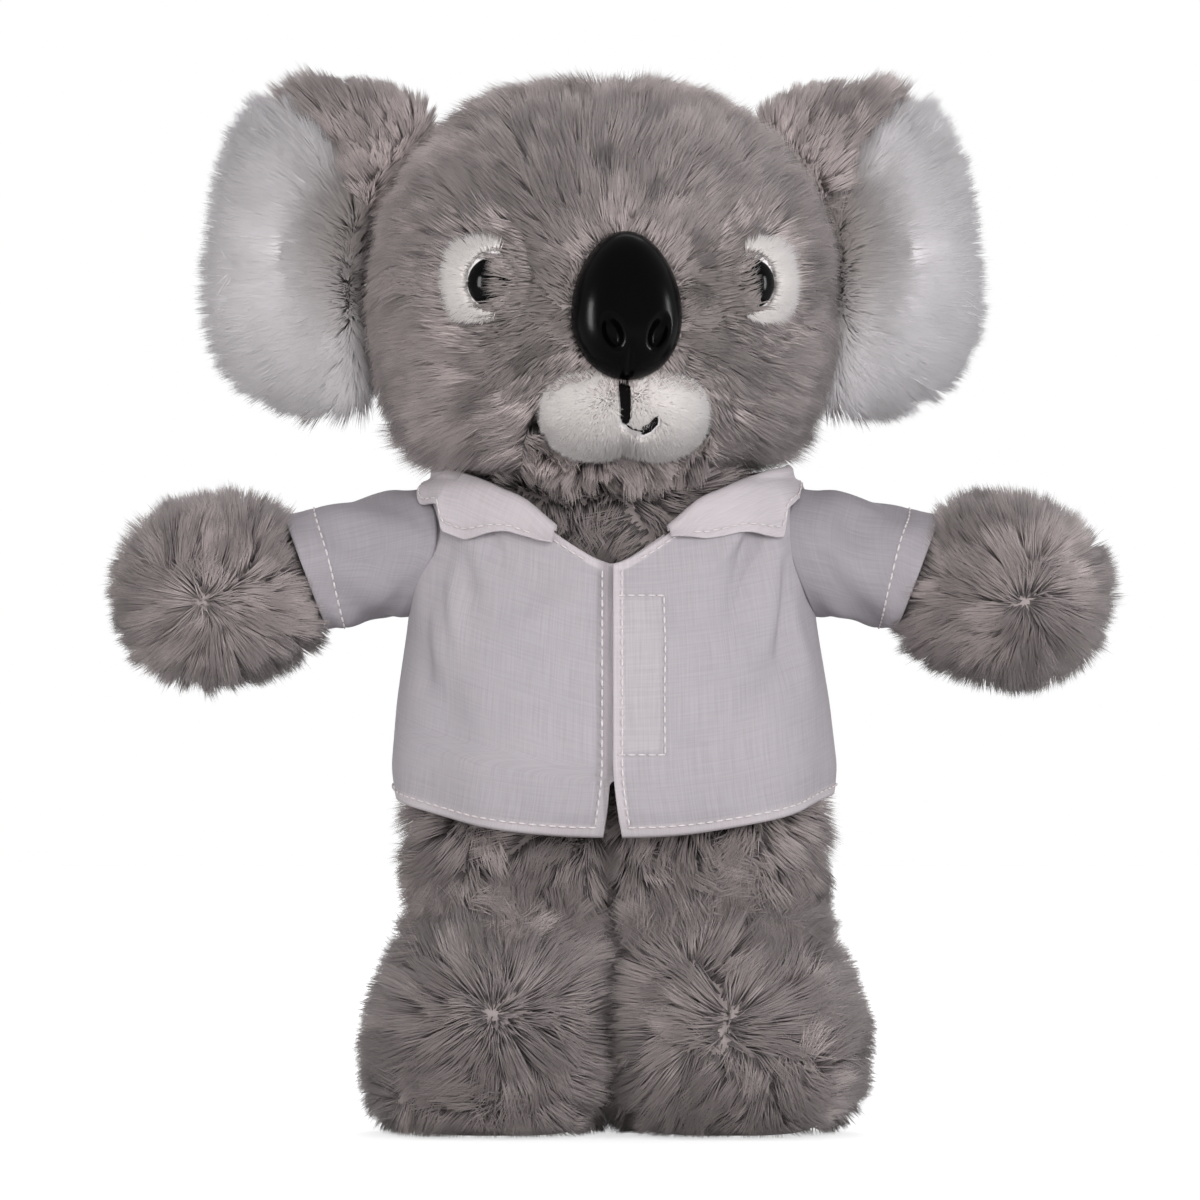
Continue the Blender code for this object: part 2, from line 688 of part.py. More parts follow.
def arm_stations():
    # Distance from the shoulder, radius
    paw = CUFF_REACH + (ARM_REACH - CUFF_REACH) * PAW_SHARE
    stations = []
    for degrees in BALL_DEGREES:
        angle = math.radians(degrees)
        stations.append((ARM_BALL_RADIUS * math.sin(angle), ARM_BALL_RADIUS * math.cos(angle)))
    upper = (ARM_WAIST_RADIUS + ARM_CUFF_RADIUS) / 2
    stations += [
        (ARM_BALL_RADIUS * 0.72, ARM_WAIST_RADIUS),
        (CUFF_REACH * 0.68, upper),
        (CUFF_REACH, ARM_CUFF_RADIUS),
    ]
    for out, swell in WRIST_SHARES:
        radius = ARM_CUFF_RADIUS + (PAW_RADIUS - ARM_CUFF_RADIUS) * swell
        stations.append((CUFF_REACH + (paw - CUFF_REACH) * out, radius))
    for degrees in PAW_DEGREES:
        angle = math.radians(degrees)
        radius = PAW_RADIUS * math.cos(angle) ** 0.8
        stations.append((paw + (ARM_REACH - paw) * math.sin(angle), radius))
    return stations


def cuff_shear(along):
    # How much a ring of the arm leans with the cuff's end at that distance
    paw = CUFF_REACH + (ARM_REACH - CUFF_REACH) * PAW_SHARE
    if along < CUFF_REACH:
        return math.tan(CUFF_TILT) * max(0.0, along / CUFF_REACH)
    return math.tan(CUFF_TILT) * max(0.0, 1 - (along - CUFF_REACH) / (paw - CUFF_REACH))


def arm_form(name, shoulder, inset, sides, finish=None, start=None):
    # An inner form closes early at the tip, where its last rings would turn inside out
    stations = [(along, radius - inset) for along, radius in arm_stations()]
    if start is not None:
        end = ARM_REACH * INNER_TIP_SHARE
        stations = [station for station in stations if start < station[0] < end]
        stations.append((ARM_REACH - inset, stations[-1][1] / 2))
    rings = []
    for along, radius in stations:
        flat = 1 if along <= CUFF_REACH else PAW_DEPTH_SHARE
        shear = cuff_shear(along)
        rings.append([(along + z * shear, y * flat, z) for y, z in oval(sides, radius, radius, 2)])
    return add_object(name, loft(rings), shoulder, finish)


def make_arm(side, shoulder, plush, fibre):
    cover = arm_form(f"{side}_arm_cover", shoulder, 0, SIDES, plush)
    inner_start = -ARM_BALL_RADIUS * INNER_START_SHARE
    hollow = arm_form(f"{side}_arm_hollow", shoulder, ARM_WALL, INNER_SIDES, None, inner_start)
    mouth = rod(
        f"{side}_arm_mouth", shoulder, ARM_BALL_RADIUS - ARM_WALL, -ARM_BALL_RADIUS - OVERRUN, 0,
        Vector((1, 0, 0)),
    )
    cut(cover, hollow, mouth)
    arm_form(f"{side}_arm_filling", shoulder, ARM_WALL + FILL_GAP, INNER_SIDES, fibre, inner_start)


# Legs

def leg_stations():
    # Height, inner and outer reach from the toy's middle, front and back reach from the hip's axis
    outer = 2 * LEG_HALF_WIDTH
    stations = []
    for share in THIGH_SHARES:
        deep = THIGH_RADIUS * math.sqrt(1 - share * share)
        draw = outer * THIGH_DRAW_SHARE * (1 - deep / THIGH_RADIUS) ** 2
        height = HIP_HEIGHT + THIGH_RADIUS * share
        stations.append((height, draw, outer * 0.985 - draw, deep, deep))
    stations.append((HIP_HEIGHT, 0, outer, THIGH_RADIUS, THIGH_RADIUS))
    knee = (HIP_HEIGHT + FOOT_HEIGHT) / 2
    stations.append((knee, 0, outer, THIGH_RADIUS * 1.01, THIGH_RADIUS))
    for up, swell in FOOT_SHARES:
        draw = outer * SOLE_DRAW_SHARE * max(0.0, 1 - up / SOLE_EDGE_SHARE)
        reach = outer + (FOOT_OUTER - outer) * swell - draw
        front = THIGH_RADIUS + (FOOT_TOE - THIGH_RADIUS) * swell
        back = THIGH_RADIUS + (FOOT_HEEL - THIGH_RADIUS) * swell - draw / 2
        stations.append((FOOT_HEIGHT * up, draw, reach, front, back))
    return stations


def leg_form(name, hip, sign, inset, sides, finish=None, top=None):
    stations = leg_stations()
    if top is not None:
        stations = [station for station in stations if station[0] < HIP_HEIGHT + top]
    # The ring nearest the floor moves up by the inset, and those that it passes are left out
    sole = (inset, *stations[-1][1:])
    stations = [station for station in stations if station[0] > 2 * inset] + [sole]
    rings = []
    for height, inner, outer, front, back in stations:
        inner, outer = inner + inset + GAP, outer - inset
        front, back = front - inset, back - inset
        middle, half = (inner + outer) / 2, (outer - inner) / 2
        ring = []
        for x, y in oval(sides, half, 1, LEG_ROUNDNESS):
            ring.append((sign * (middle + x), y * (front if y < 0 else back), height - HIP_HEIGHT))
        rings.append(ring)
    return add_object(name, loft(rings), hip, finish)


def make_leg(side, sign, hip, plush, fibre):
    cover = leg_form(f"{side}_leg_cover", hip, sign, 0, SIDES, plush)
    top = THIGH_RADIUS * FILLING_TOP_SHARE
    cut(cover, leg_form(f"{side}_leg_hollow", hip, sign, LEG_WALL, INNER_SIDES, None, top))
    radius, end = THIGH_RADIUS * LEG_MOUTH_SHARE, THIGH_RADIUS + OVERRUN
    mouth = rod(f"{side}_leg_mouth", hip, radius, 0, end, Vector((0, 0, 1)))
    mouth.location = (sign * LEG_HALF_WIDTH, 0, 0)
    cut(cover, mouth)
    leg_form(f"{side}_leg_filling", hip, sign, LEG_WALL + FILL_GAP, INNER_SIDES, fibre, top)


# Shirt

def shirt_point(angle, height, inset=0.0):
    # A point of the shirt's outer face. The angle runs round the body from +X, the front at -90
    width, depth = torso_size(max(height, TORSO_FLOOR))
    low = max(0.0, 1 - (height - HEM_SIDE) / (SHOULDER_HEIGHT - HEM_SIDE))
    ease = SHIRT_EASE + SHIRT_FLARE * low - inset
    ease += FOLD_DEPTH * low * low * math.cos(FOLD_COUNT * angle)
    c, s = math.cos(angle), math.sin(angle)
    x = (width + ease) * math.copysign(abs(c) ** (2 / TORSO_ROUNDNESS), c)
    y = (depth + ease) * math.copysign(abs(s) ** (2 / TORSO_ROUNDNESS), s)
    return x, y, height


def angle_at(x, height):
    # The angle on the front at which the shirt lies at that x
    width = torso_size(max(height, TORSO_FLOOR))[0] + SHIRT_EASE
    return -math.acos(math.copysign((abs(x) / width) ** (TORSO_ROUNDNESS / 2), x))


def hem_height(angle):
    drop = HEM_FRONT_DROP if math.sin(angle) < 0 else HEM_BACK_DROP
    return HEM_SIDE - drop * abs(math.sin(angle)) ** 1.5


def neckline_height(angle):
    turn = abs((angle + math.pi / 2 + math.pi) % (2 * math.pi) - math.pi) / math.pi
    return NECKLINE_LOW + (NECKLINE_HIGH - NECKLINE_LOW) * blend_at(NECKLINE_SHARES, turn)[1]


def smooth(value):
    value = min(1.0, max(0.0, value))
    return value * value * (3 - 2 * value)


def front_edge(height):
    low = hem_height(-math.pi / 2)
    return GAP + SPLIT_HALF * max(0.0, 1 - (height - low) / SPLIT_HEIGHT) ** 1.5


def front_start(sign, height):
    # Where a front's edge is; the right front reaches under the left one behind the tapes
    start = sign * front_edge(height)
    if sign < 0:
        reach = TAPE_EDGE + TAPE_WIDTH + UNDERLAP_RAMP / 4 - start
        start += reach * smooth((height - UNDERLAP_BOTTOM) / UNDERLAP_RAMP)
    return start


def front_inset(sign, x):
    if sign > 0:
        return 0.0
    return UNDERLAP_INSET * smooth((x + UNDERLAP_STEP) / (UNDERLAP_STEP - UNDERLAP_LEAD))


def make_front(side, sign, koala, cotton):
    rows, columns = 12, (12 if sign > 0 else 16)
    grid = []
    seam = -math.pi / 2 + sign * (math.pi / 2 - SIDE_SEAM_GAP)
    for i in range(rows):
        up = i / (rows - 1)
        row = []
        for k in range(columns):
            share = (k / (columns - 1)) ** (1 if sign > 0 else 1.35)
            height = hem_height(-math.pi / 2)
            for _ in range(3):
                edge = angle_at(front_start(sign, height), height)
                angle = edge + share * (seam - edge)
                low, high = hem_height(angle), neckline_height(angle)
                height = low + up * (high - low)
            x = shirt_point(angle, height)[0]
            row.append(shirt_point(angle, height, CLOTH / 2 + front_inset(sign, x)))
        grid.append(row)
    return sheet(f"shirt_front_{side}", koala, grid, CLOTH, cotton)


def make_back(koala, cotton):
    rows, columns = 12, 22
    grid = []
    for i in range(rows):
        up = i / (rows - 1)
        row = []
        for k in range(columns):
            angle = SIDE_SEAM_GAP + (math.pi - 2 * SIDE_SEAM_GAP) * k / (columns - 1)
            low, high = hem_height(angle), neckline_height(angle)
            row.append(shirt_point(angle, low + up * (high - low), CLOTH / 2))
        grid.append(row)
    return sheet("shirt_back", koala, grid, CLOTH, cotton)


def make_tape(name, koala, inset, finish):
    # A strip of hook or loop tape on the inside of the closure
    grid = []
    for i in range(5):
        height = TAPE_BOTTOM + TAPE_LENGTH * i / 4
        grid.append([
            shirt_point(angle_at(TAPE_EDGE + TAPE_WIDTH * k / 4, height), height, inset)
            for k in range(5)
        ])
    return sheet(name, koala, grid, TAPE, finish)


def collar_station(turn, stand, fall, sign):
    # The cloth's path at one turn round the neck: foot, over the fold, and down to the edge
    angle = -math.pi / 2 + sign * math.pi * turn
    foot_height = neckline_height(angle) + GAP + CLOTH / 2
    fold_height = foot_height + COLLAR_STAND * stand
    outside = -CLOTH / 2 - COLLAR_SPACE
    path = [
        (foot_height, CLOTH / 2),
        (fold_height - CLOTH, CLOTH / 2),
        (fold_height, (CLOTH + outside) / 2),
        (fold_height - CLOTH, outside),
    ]
    drop = COLLAR_FALL * fall - CLOTH
    path += [(fold_height - CLOTH - drop * share, outside) for share in (0.34, 0.67, 1)]
    points = []
    for height, inset in path:
        x, y, _ = shirt_point(angle, min(height, NECKLINE_HIGH), inset)
        points.append((x, y, height))
    return points


def make_collar(koala, cotton):
    stations = [collar_station(*shares, -1) for shares in COLLAR_STATION_SHARES]
    stations += [collar_station(*shares, 1) for shares in reversed(COLLAR_STATION_SHARES[:-1])]
    return sheet("collar", koala, stations, CLOTH, cotton)


def sleeve_root(y, z):
    # How far along the arm the sleeve meets the shirt, for a point of its root ring
    along = 0.0
    slope = math.sin(ARM_SLOPE), math.cos(ARM_SLOPE)
    for _ in range(5):
        height = SHOULDER_HEIGHT + z * slope[1] - along * slope[0]
        width, depth = torso_size(height)
        low = max(0.0, 1 - (height - HEM_SIDE) / (SHOULDER_HEIGHT - HEM_SIDE))
        ease = SHIRT_EASE + SHIRT_FLARE * low + FOLD_DEPTH * low * low + 2 * GAP
        share = min(1.0, abs(y) / (depth + ease))
        out = (width + ease) * (1 - share ** TORSO_ROUNDNESS) ** (1 / TORSO_ROUNDNESS)
        along = (out - SHOULDER_OUT - z * slope[0]) / slope[1]
    return along


def make_sleeve(side, shoulder, cotton):
    rings = []
    for share, flare in SLEEVE_FLARE_SHARES:
        radius = SLEEVE_RADIUS + (SLEEVE_ROOT_RADIUS - SLEEVE_RADIUS) * flare - CLOTH / 2
        ring = []
        for y, z in oval(SIDES, radius, radius, 2):
            if z > 0:
                z *= 1 - (1 - SLEEVE_TOP_SHARE) * flare
            start = sleeve_root(y, z)
            end = CUFF_REACH + z * math.tan(CUFF_TILT)
            ring.append((start + share * (end - start), y, z))
        rings.append(ring + ring[:1])
    return sheet(f"{side}_sleeve", shoulder, rings, CLOTH, cotton)


def make_shirt(koala, shoulders, cotton, nylon):
    panels = [make_front(side, sign, koala, cotton) for side, sign in (("left", 1), ("right", -1))]
    panels.append(make_back(koala, cotton))
    for side, shoulder in shoulders.items():
        for panel in panels:
            name = f"{side}_armhole_in_{panel.name}"
            outward = Vector((1, 0, 0))
            hole = rod(name, shoulder, ARMHOLE_RADIUS, -ARMHOLE_DEPTH, OVERRUN, outward, 20)
            hole.location = (0, 0, -ARMHOLE_DROP)
            cut(panel, hole)
        make_sleeve(side, shoulder, cotton)
    make_tape("hook_tape", koala, HOOK_INSET, nylon)
    make_tape("loop_tape", koala, LOOP_INSET, nylon)
    make_collar(koala, cotton)


def build():
    clear_scene()
    plush = material("grey_plush", (0.31, 0.28, 0.275), 0.95)
    white = material("white_plush", (0.78, 0.76, 0.77), 0.95)
    fibre = material("fibre_filling", (0.86, 0.86, 0.84), 1.0)
    cotton = material("white_cotton", (0.74, 0.70, 0.73), 0.85)
    nylon = material("tape_nylon", (0.80, 0.80, 0.80), 0.7)
    gloss = material("black_gloss", (0.012, 0.012, 0.014), 0.12)
    plastic = material("washer_plastic", (0.70, 0.70, 0.68), 0.45)
    thread = material("black_thread", (0.02, 0.02, 0.02), 0.8)

    koala = frame_at("koala", None, (0, AXIS_SETBACK, 0))
    yaw = Matrix.Rotation(HEAD_YAW, 4, "Z")
    neck = frame_at("neck_joint", koala, (NECK_OFFSET, 0, NECK_SEAM), yaw)
    hips = frame_at("hip_axis", koala, (0, 0, HIP_HEIGHT))
    shoulders = {}
    for side, sign in (("left", 1), ("right", -1)):
        outward = Matrix.Identity(4) if sign > 0 else Matrix.Rotation(math.pi, 4, "Z")
        turn = outward @ Matrix.Rotation(ARM_SLOPE, 4, "Y")
        shoulders[side] = frame_at(
            f"{side}_shoulder", koala, (sign * SHOULDER_OUT, 0, SHOULDER_HEIGHT), turn
        )
    make_torso(koala, shoulders, hips, neck, plush, fibre)
    make_head(neck, plush, white, fibre, gloss, plastic, thread)
    for side, sign in (("left", 1), ("right", -1)):
        make_ear(side, sign, neck, plush, white)
        make_arm(side, shoulders[side], plush, fibre)
        make_leg(side, sign, hips, plush, fibre)
    make_shirt(koala, shoulders, cotton, nylon)


build()
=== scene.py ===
# Plush koala in a white shirt: pile, face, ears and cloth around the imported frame
import json
import math

import bmesh
import bpy
import numpy as np
from mathutils import Matrix, Vector, noise
from mathutils.bvhtree import BVHTree
from mathutils.kdtree import KDTree


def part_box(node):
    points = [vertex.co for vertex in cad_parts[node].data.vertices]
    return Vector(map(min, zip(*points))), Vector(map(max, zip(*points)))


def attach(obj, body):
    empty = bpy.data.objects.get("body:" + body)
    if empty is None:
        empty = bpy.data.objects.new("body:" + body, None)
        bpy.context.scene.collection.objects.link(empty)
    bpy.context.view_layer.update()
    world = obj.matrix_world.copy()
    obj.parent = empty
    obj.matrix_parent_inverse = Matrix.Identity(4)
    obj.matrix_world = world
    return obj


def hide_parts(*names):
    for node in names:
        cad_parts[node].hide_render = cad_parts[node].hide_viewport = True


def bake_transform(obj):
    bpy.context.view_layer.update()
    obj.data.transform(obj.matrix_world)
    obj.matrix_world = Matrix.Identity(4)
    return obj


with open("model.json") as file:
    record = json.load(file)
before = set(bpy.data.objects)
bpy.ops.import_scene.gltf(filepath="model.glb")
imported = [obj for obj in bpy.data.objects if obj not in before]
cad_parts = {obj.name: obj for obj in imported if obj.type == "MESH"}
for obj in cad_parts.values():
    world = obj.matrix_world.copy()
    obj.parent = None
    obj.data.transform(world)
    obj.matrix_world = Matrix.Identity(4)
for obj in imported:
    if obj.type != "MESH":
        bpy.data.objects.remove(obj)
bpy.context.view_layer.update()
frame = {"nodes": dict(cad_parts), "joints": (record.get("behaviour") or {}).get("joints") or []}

noise.seed_set(5)
mm = 0.001
sides = {"left": 1, "right": -1}  # the toy's own left is on +X


# Places that the frame gives

jointPlace = {joint["name"]: Vector(joint["pos_m"]) for joint in frame["joints"]}
neckPlace = jointPlace["neck_turn"]
bodyMiddle = Vector((0, neckPlace.y, 0))

face = {
    "yaw": math.radians(7),
    "noseSeat": 57.5 * mm, "noseHeight": 43.8 * mm, "noseTilt": math.radians(8),
    "noseHalfWidth": 15.2 * mm, "noseHalfHeight": 20.7 * mm, "noseDepth": 15.5 * mm, "noseEgg": 0.13,
    "eyeSpread": 36.2 * mm, "eyeHeight": 50.6 * mm, "eyeSeat": 50.3 * mm, "eyeTurn": math.radians(30),
    "eyeRadius": 6.5 * mm, "eyeDome": 4.8 * mm,
    "patchHalf": (9.2 * mm, 3.6 * mm, 11.2 * mm), "patchShift": 2.8 * mm,
    "muzzleSeat": 55.5 * mm, "muzzleHeight": 14.2 * mm,
    "lobeHalf": (13.8 * mm, 9.2 * mm, 11.6 * mm), "lobeSpread": 9.2 * mm,
}
headFrame = Matrix.Translation(neckPlace) @ Matrix.Rotation(face["yaw"], 4, "Z")


# Numbers and vectors

def smooth(value):
    value = np.clip(value, 0.0, 1.0)
    return value * value * (3 - 2 * value)


def unit(vectors):
    return vectors / np.maximum(np.linalg.norm(vectors, axis=-1, keepdims=True), 1e-9)


def dot(a, b):
    return np.sum(a * b, axis=-1, keepdims=True)


def toLocal(matrix, points):
    inverse = np.array(matrix.inverted())
    return points @ inverse[:3, :3].T + inverse[:3, 3]


def turnOut(matrix, vectors):
    return vectors @ np.array(matrix)[:3, :3].T


# Node trees

def newMaterial(name, roughness, **plain):
    # a material with its Principled shader, and the values that are the same all over it
    made = bpy.data.materials.new(name)
    made.use_nodes = True
    shader = made.node_tree.nodes["Principled BSDF"]
    shader.inputs["Roughness"].default_value = roughness
    for socket, value in plain.items():
        shader.inputs[socket.replace("_", " ")].default_value = value
    return made, made.node_tree, shader


def addNode(tree, kind, inputs=(), **values):
    node = tree.nodes.new(kind)
    for key, value in values.items():
        setattr(node, key, value)
    for key, value in dict(inputs).items():
        if isinstance(value, bpy.types.NodeSocket):
            tree.links.new(value, node.inputs[key])
        else:
            node.inputs[key].default_value = value
    return node


def mathNode(tree, operation, first, second=0.0):
    return addNode(tree, "ShaderNodeMath", {0: first, 1: second}, operation=operation).outputs[0]


def mixColour(tree, share, first, second):
    return addNode(tree, "ShaderNodeMix", {0: share, 6: first, 7: second}, data_type="RGBA").outputs[2]


def attributeOf(tree, name):
    return addNode(tree, "ShaderNodeAttribute", attribute_name=name).outputs["Fac"]


def objectPlace(tree):
    return addNode(tree, "ShaderNodeTexCoord").outputs["Object"]


def noiseAt(tree, place, scale, detail):
    inputs = {"Vector": place, "Scale": scale, "Detail": detail}
    return addNode(tree, "ShaderNodeTexNoise", inputs).outputs["Fac"]


def addBump(tree, shader, height, strength, distance):
    bump = addNode(tree, "ShaderNodeBump", {"Height": height, "Strength": strength, "Distance": distance})
    tree.links.new(bump.outputs[0], shader.inputs["Normal"])


def seenRay(tree):
    # one for the rays that the camera sees straight, through glass or in a gloss
    rays = addNode(tree, "ShaderNodeLightPath").outputs
    seen = mathNode(tree, "MAXIMUM", rays["Is Camera Ray"], rays["Is Transmission Ray"])
    return mathNode(tree, "MAXIMUM", seen, rays["Is Glossy Ray"])


def newGroup(name, inputs, outputs):
    group = bpy.data.node_groups.new(name, "ShaderNodeTree")
    for label, kind, value in inputs:
        socket = group.interface.new_socket(label, in_out="INPUT", socket_type="NodeSocket" + kind)
        socket.default_value = value
    for label, kind in outputs:
        group.interface.new_socket(label, in_out="OUTPUT", socket_type="NodeSocket" + kind)
    entry, leave = group.nodes.new("NodeGroupInput"), group.nodes.new("NodeGroupOutput")
    return group, entry.outputs, leave.inputs


def useGroup(tree, group, **inputs):
    node = tree.nodes.new("ShaderNodeGroup")
    node.node_tree = group
    for label, value in inputs.items():
        node.inputs[label].default_value = value
    return node


def pileToneGroup():
    # root to tip tone of a strand, with its tuft's own shade; a mask mixes in a dark colour as painted shade,
    # which on the ears is partly a real grey tint
    group, given, result = newGroup(
        "pileTone",
        [("Root", "Color", (0, 0, 0, 1)), ("Body", "Color", (0.3, 0.3, 0.3, 1)),
         ("Tip", "Color", (0.6, 0.6, 0.6, 1)), ("Stain", "Color", (0.25, 0.22, 0.21, 1)),
         ("Spread", "Float", 0.4)],
        [("Color", "Color"), ("Roughness", "Float")],
    )
    along, shade, tintAndShade = (attributeOf(group, name) for name in ("along", "shade", "tintAndShade"))
    low = addNode(group, "ShaderNodeMapRange", {0: along, 1: 0.0, 2: 0.5}, interpolation_type="SMOOTHSTEP")
    high = addNode(group, "ShaderNodeMapRange", {0: along, 1: 0.35, 2: 1.0})
    lower = mixColour(group, low.outputs[0], given["Root"], given["Body"])
    tipped = mixColour(group, tintAndShade, mixColour(group, high.outputs[0], lower, given["Tip"]), given["Stain"])
    swing = mathNode(group, "MULTIPLY", mathNode(group, "SUBTRACT", shade, 0.5), given["Spread"])
    gain = mathNode(group, "ADD", swing, 1.0)
    toned = addNode(group, "ShaderNodeVectorMath", {0: tipped, "Scale": gain}, operation="SCALE")
    group.links.new(toned.outputs[0], result["Color"])
    rough = addNode(group, "ShaderNodeMapRange", {0: shade, 3: 0.85, 4: 0.62})
    group.links.new(rough.outputs[0], result["Roughness"])
    return group


pileTone = pileToneGroup()


def pileMaterial(name, root, body, tip, spread, tintAndShade=(0.25, 0.22, 0.21)):
    made, tree, shader = newMaterial(
        name, 0.7, Specular_IOR_Level=0.14, Sheen_Weight=0.1, Sheen_Roughness=0.5)
    tone = useGroup(tree, pileTone, Root=(*root, 1), Body=(*body, 1), Tip=(*tip, 1), Stain=(*tintAndShade, 1),
                    Spread=spread)
    tree.links.new(tone.outputs["Color"], shader.inputs["Base Color"])
    tree.links.new(tone.outputs["Roughness"], shader.inputs["Roughness"])
    return made


def backingMaterial(name, colour, dark):
    # the knitted backing that the pile grows from
    made, tree, shader = newMaterial(name, 0.95, Specular_IOR_Level=0.1)
    place = objectPlace(tree)
    colourOut = mixColour(tree, noiseAt(tree, place, 220.0, 3.0), (*dark, 1), (*colour, 1))
    tree.links.new(colourOut, shader.inputs["Base Color"])
    knit = addNode(tree, "ShaderNodeTexVoronoi", {"Vector": place, "Scale": 900.0})
    addBump(tree, shader, knit.outputs["Distance"], 0.5, 0.4 * mm)
    return made


# The pile's colours are those of a strand's root, body and tip, then the dark colour that painted shade mixes
# towards; for the white pile that is also its real grey near the head
greyPile = pileMaterial("greyPile", (0.37, 0.32, 0.317), (0.45, 0.39, 0.387), (0.65, 0.565, 0.555), 0.9)
whitePile = pileMaterial("whitePile", (0.82, 0.79, 0.81), (0.88, 0.85, 0.87), (0.93, 0.90, 0.92), 0.12,
                         (0.29, 0.255, 0.245))
creamPile = pileMaterial("creamPile", (0.80, 0.76, 0.745), (0.83, 0.79, 0.775), (0.87, 0.83, 0.815), 0.12)
greyBacking = backingMaterial("greyBacking", (0.42, 0.365, 0.36), (0.34, 0.295, 0.29))
whiteBacking = backingMaterial("whiteBacking", (0.90, 0.87, 0.88), (0.85, 0.82, 0.83))


# Meshes

def newPiece(name, mesh, material, body):
    piece = bpy.data.objects.new(name, mesh)
    bpy.context.scene.collection.objects.link(piece)
    mesh.materials.append(material)
    mesh.shade_smooth()
    if body:
        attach(piece, body)
    return piece


def meshFrom(name, bm):
    mesh = bpy.data.meshes.new(name)
    bm.to_mesh(mesh)
    bm.free()
    return mesh


def cadSurface(*names):
    # the CAD's faces, to cast rays at
    points, faces = [], []
    for name in names:
        mesh, base = frame["nodes"][name].data, len(points)
        points += [vert.co.copy() for vert in mesh.vertices]
        faces += [[base + k for k in polygon.vertices] for polygon in mesh.polygons]
    return BVHTree.FromPolygons(points, faces)


def wrapForm(name, nodes, start, end, depth, segments=(72, 48), bridges=14):
    # a closed skin, as deep as depth says under the outer face of the CAD's nodes
    surface = cadSurface(*nodes)
    bm = bmesh.new()
    bmesh.ops.create_uvsphere(bm, u_segments=segments[0], v_segments=segments[1], radius=1)
    axis = (end - start).normalized() if (end - start).length > 0 else Vector((0, 0, 1))
    turn = Vector((0, 0, 1)).rotation_difference(axis).to_matrix()
    bmesh.ops.rotate(bm, cent=(0, 0, 0), matrix=turn, verts=bm.verts)
    bm.verts.index_update()
    far = 0.3
    aways = [vert.co.normalized() for vert in bm.verts]
    middles = [start.lerp(end, (away.dot(axis) + 1) / 2) for away in aways]
    reach = np.zeros(len(aways))
    for k, (away, middle) in enumerate(zip(aways, middles)):
        hit = surface.ray_cast(middle + away * far, -away, far)
        reach[k] = far - hit[3] if hit[0] else 0.0
    beside = [[edge.other_vert(vert).index for edge in vert.link_edges] for vert in bm.verts]
    for _ in range(bridges):  # openings and seats in the CAD's cover are bridged
        reach = np.maximum(reach, [reach[near].mean() for near in beside])
    places = np.array([middle + away * r for middle, away, r in zip(middles, aways, reach)])
    sunk = depth(places)
    for vert, away, middle, r, deep in zip(bm.verts, aways, middles, reach, sunk):
        vert.co = middle + away * (r - deep)
    for _ in range(4):
        bmesh.ops.smooth_vert(
            bm, verts=bm.verts, factor=0.5, use_axis_x=True, use_axis_y=True, use_axis_z=True)
    return meshFrom(name, bm)


def scatter(mesh, count, rng):
    # points spread evenly over a mesh, with its smooth normals there
    mesh.calc_loop_triangles()
    points = np.empty(len(mesh.vertices) * 3)
    mesh.vertices.foreach_get("co", points)
    normals = np.empty(len(mesh.vertices) * 3)
    mesh.vertices.foreach_get("normal", normals)
    corners = np.empty(len(mesh.loop_triangles) * 3, np.int32)
    mesh.loop_triangles.foreach_get("vertices", corners)
    points, normals, corners = points.reshape(-1, 3), normals.reshape(-1, 3), corners.reshape(-1, 3)
    a, b, c = (points[corners[:, k]] for k in range(3))
    areas = np.linalg.norm(np.cross(b - a, c - a), axis=1)
    chosen = rng.choice(len(corners), count, p=areas / areas.sum())
    u, v = rng.random((2, count, 1))
    over = u + v > 1
    u, v = np.where(over, 1 - u, u), np.where(over, 1 - v, v)
    w = 1 - u - v
    here = a[chosen] * w + b[chosen] * u + c[chosen] * v
    out = unit(sum(normals[corners[chosen, k]] * s for k, s in enumerate((w, u, v))))
    return here, out


# Pile

def lieOf(outs, flow, sway, pile, spread, rng):
    # the direction that a strand leans in; it stands up where the comb's vector is shorter than one
    strength = np.minimum(1, np.linalg.norm(flow, axis=1, keepdims=True))
    flow = unit(flow - outs * dot(flow, outs)) + sway * pile["sway"] + rng.normal(0, spread, outs.shape)
    flow = unit(flow - outs * dot(flow, outs))
    lift = pile["lift"] + (66 - pile["lift"]) * (1 - strength)
    lift = np.radians(lift + rng.normal(0, pile["liftSpread"], (len(outs), 1)))
    return outs * np.sin(lift) + flow * np.cos(lift)


def trimmed(roots, tips, blocks, clear, least):
    # how much of each strand stays, as a share, so that it stops short of what is in its way
    share = np.ones(len(roots))
    for k, (root, tip) in enumerate(zip(roots.tolist(), tips.tolist())):
        root, tip = Vector(root), Vector(tip)
        way = tip - root
        length = way.length
        hit = blocks.ray_cast(root, way, length + clear)
        if hit[0] is None:
            continue
        if hit[1].dot(way) > 0 or hit[3] - clear < least:
            share[k] = 0
        else:
            share[k] = min(1.0, (hit[3] - clear) / length)
    return share


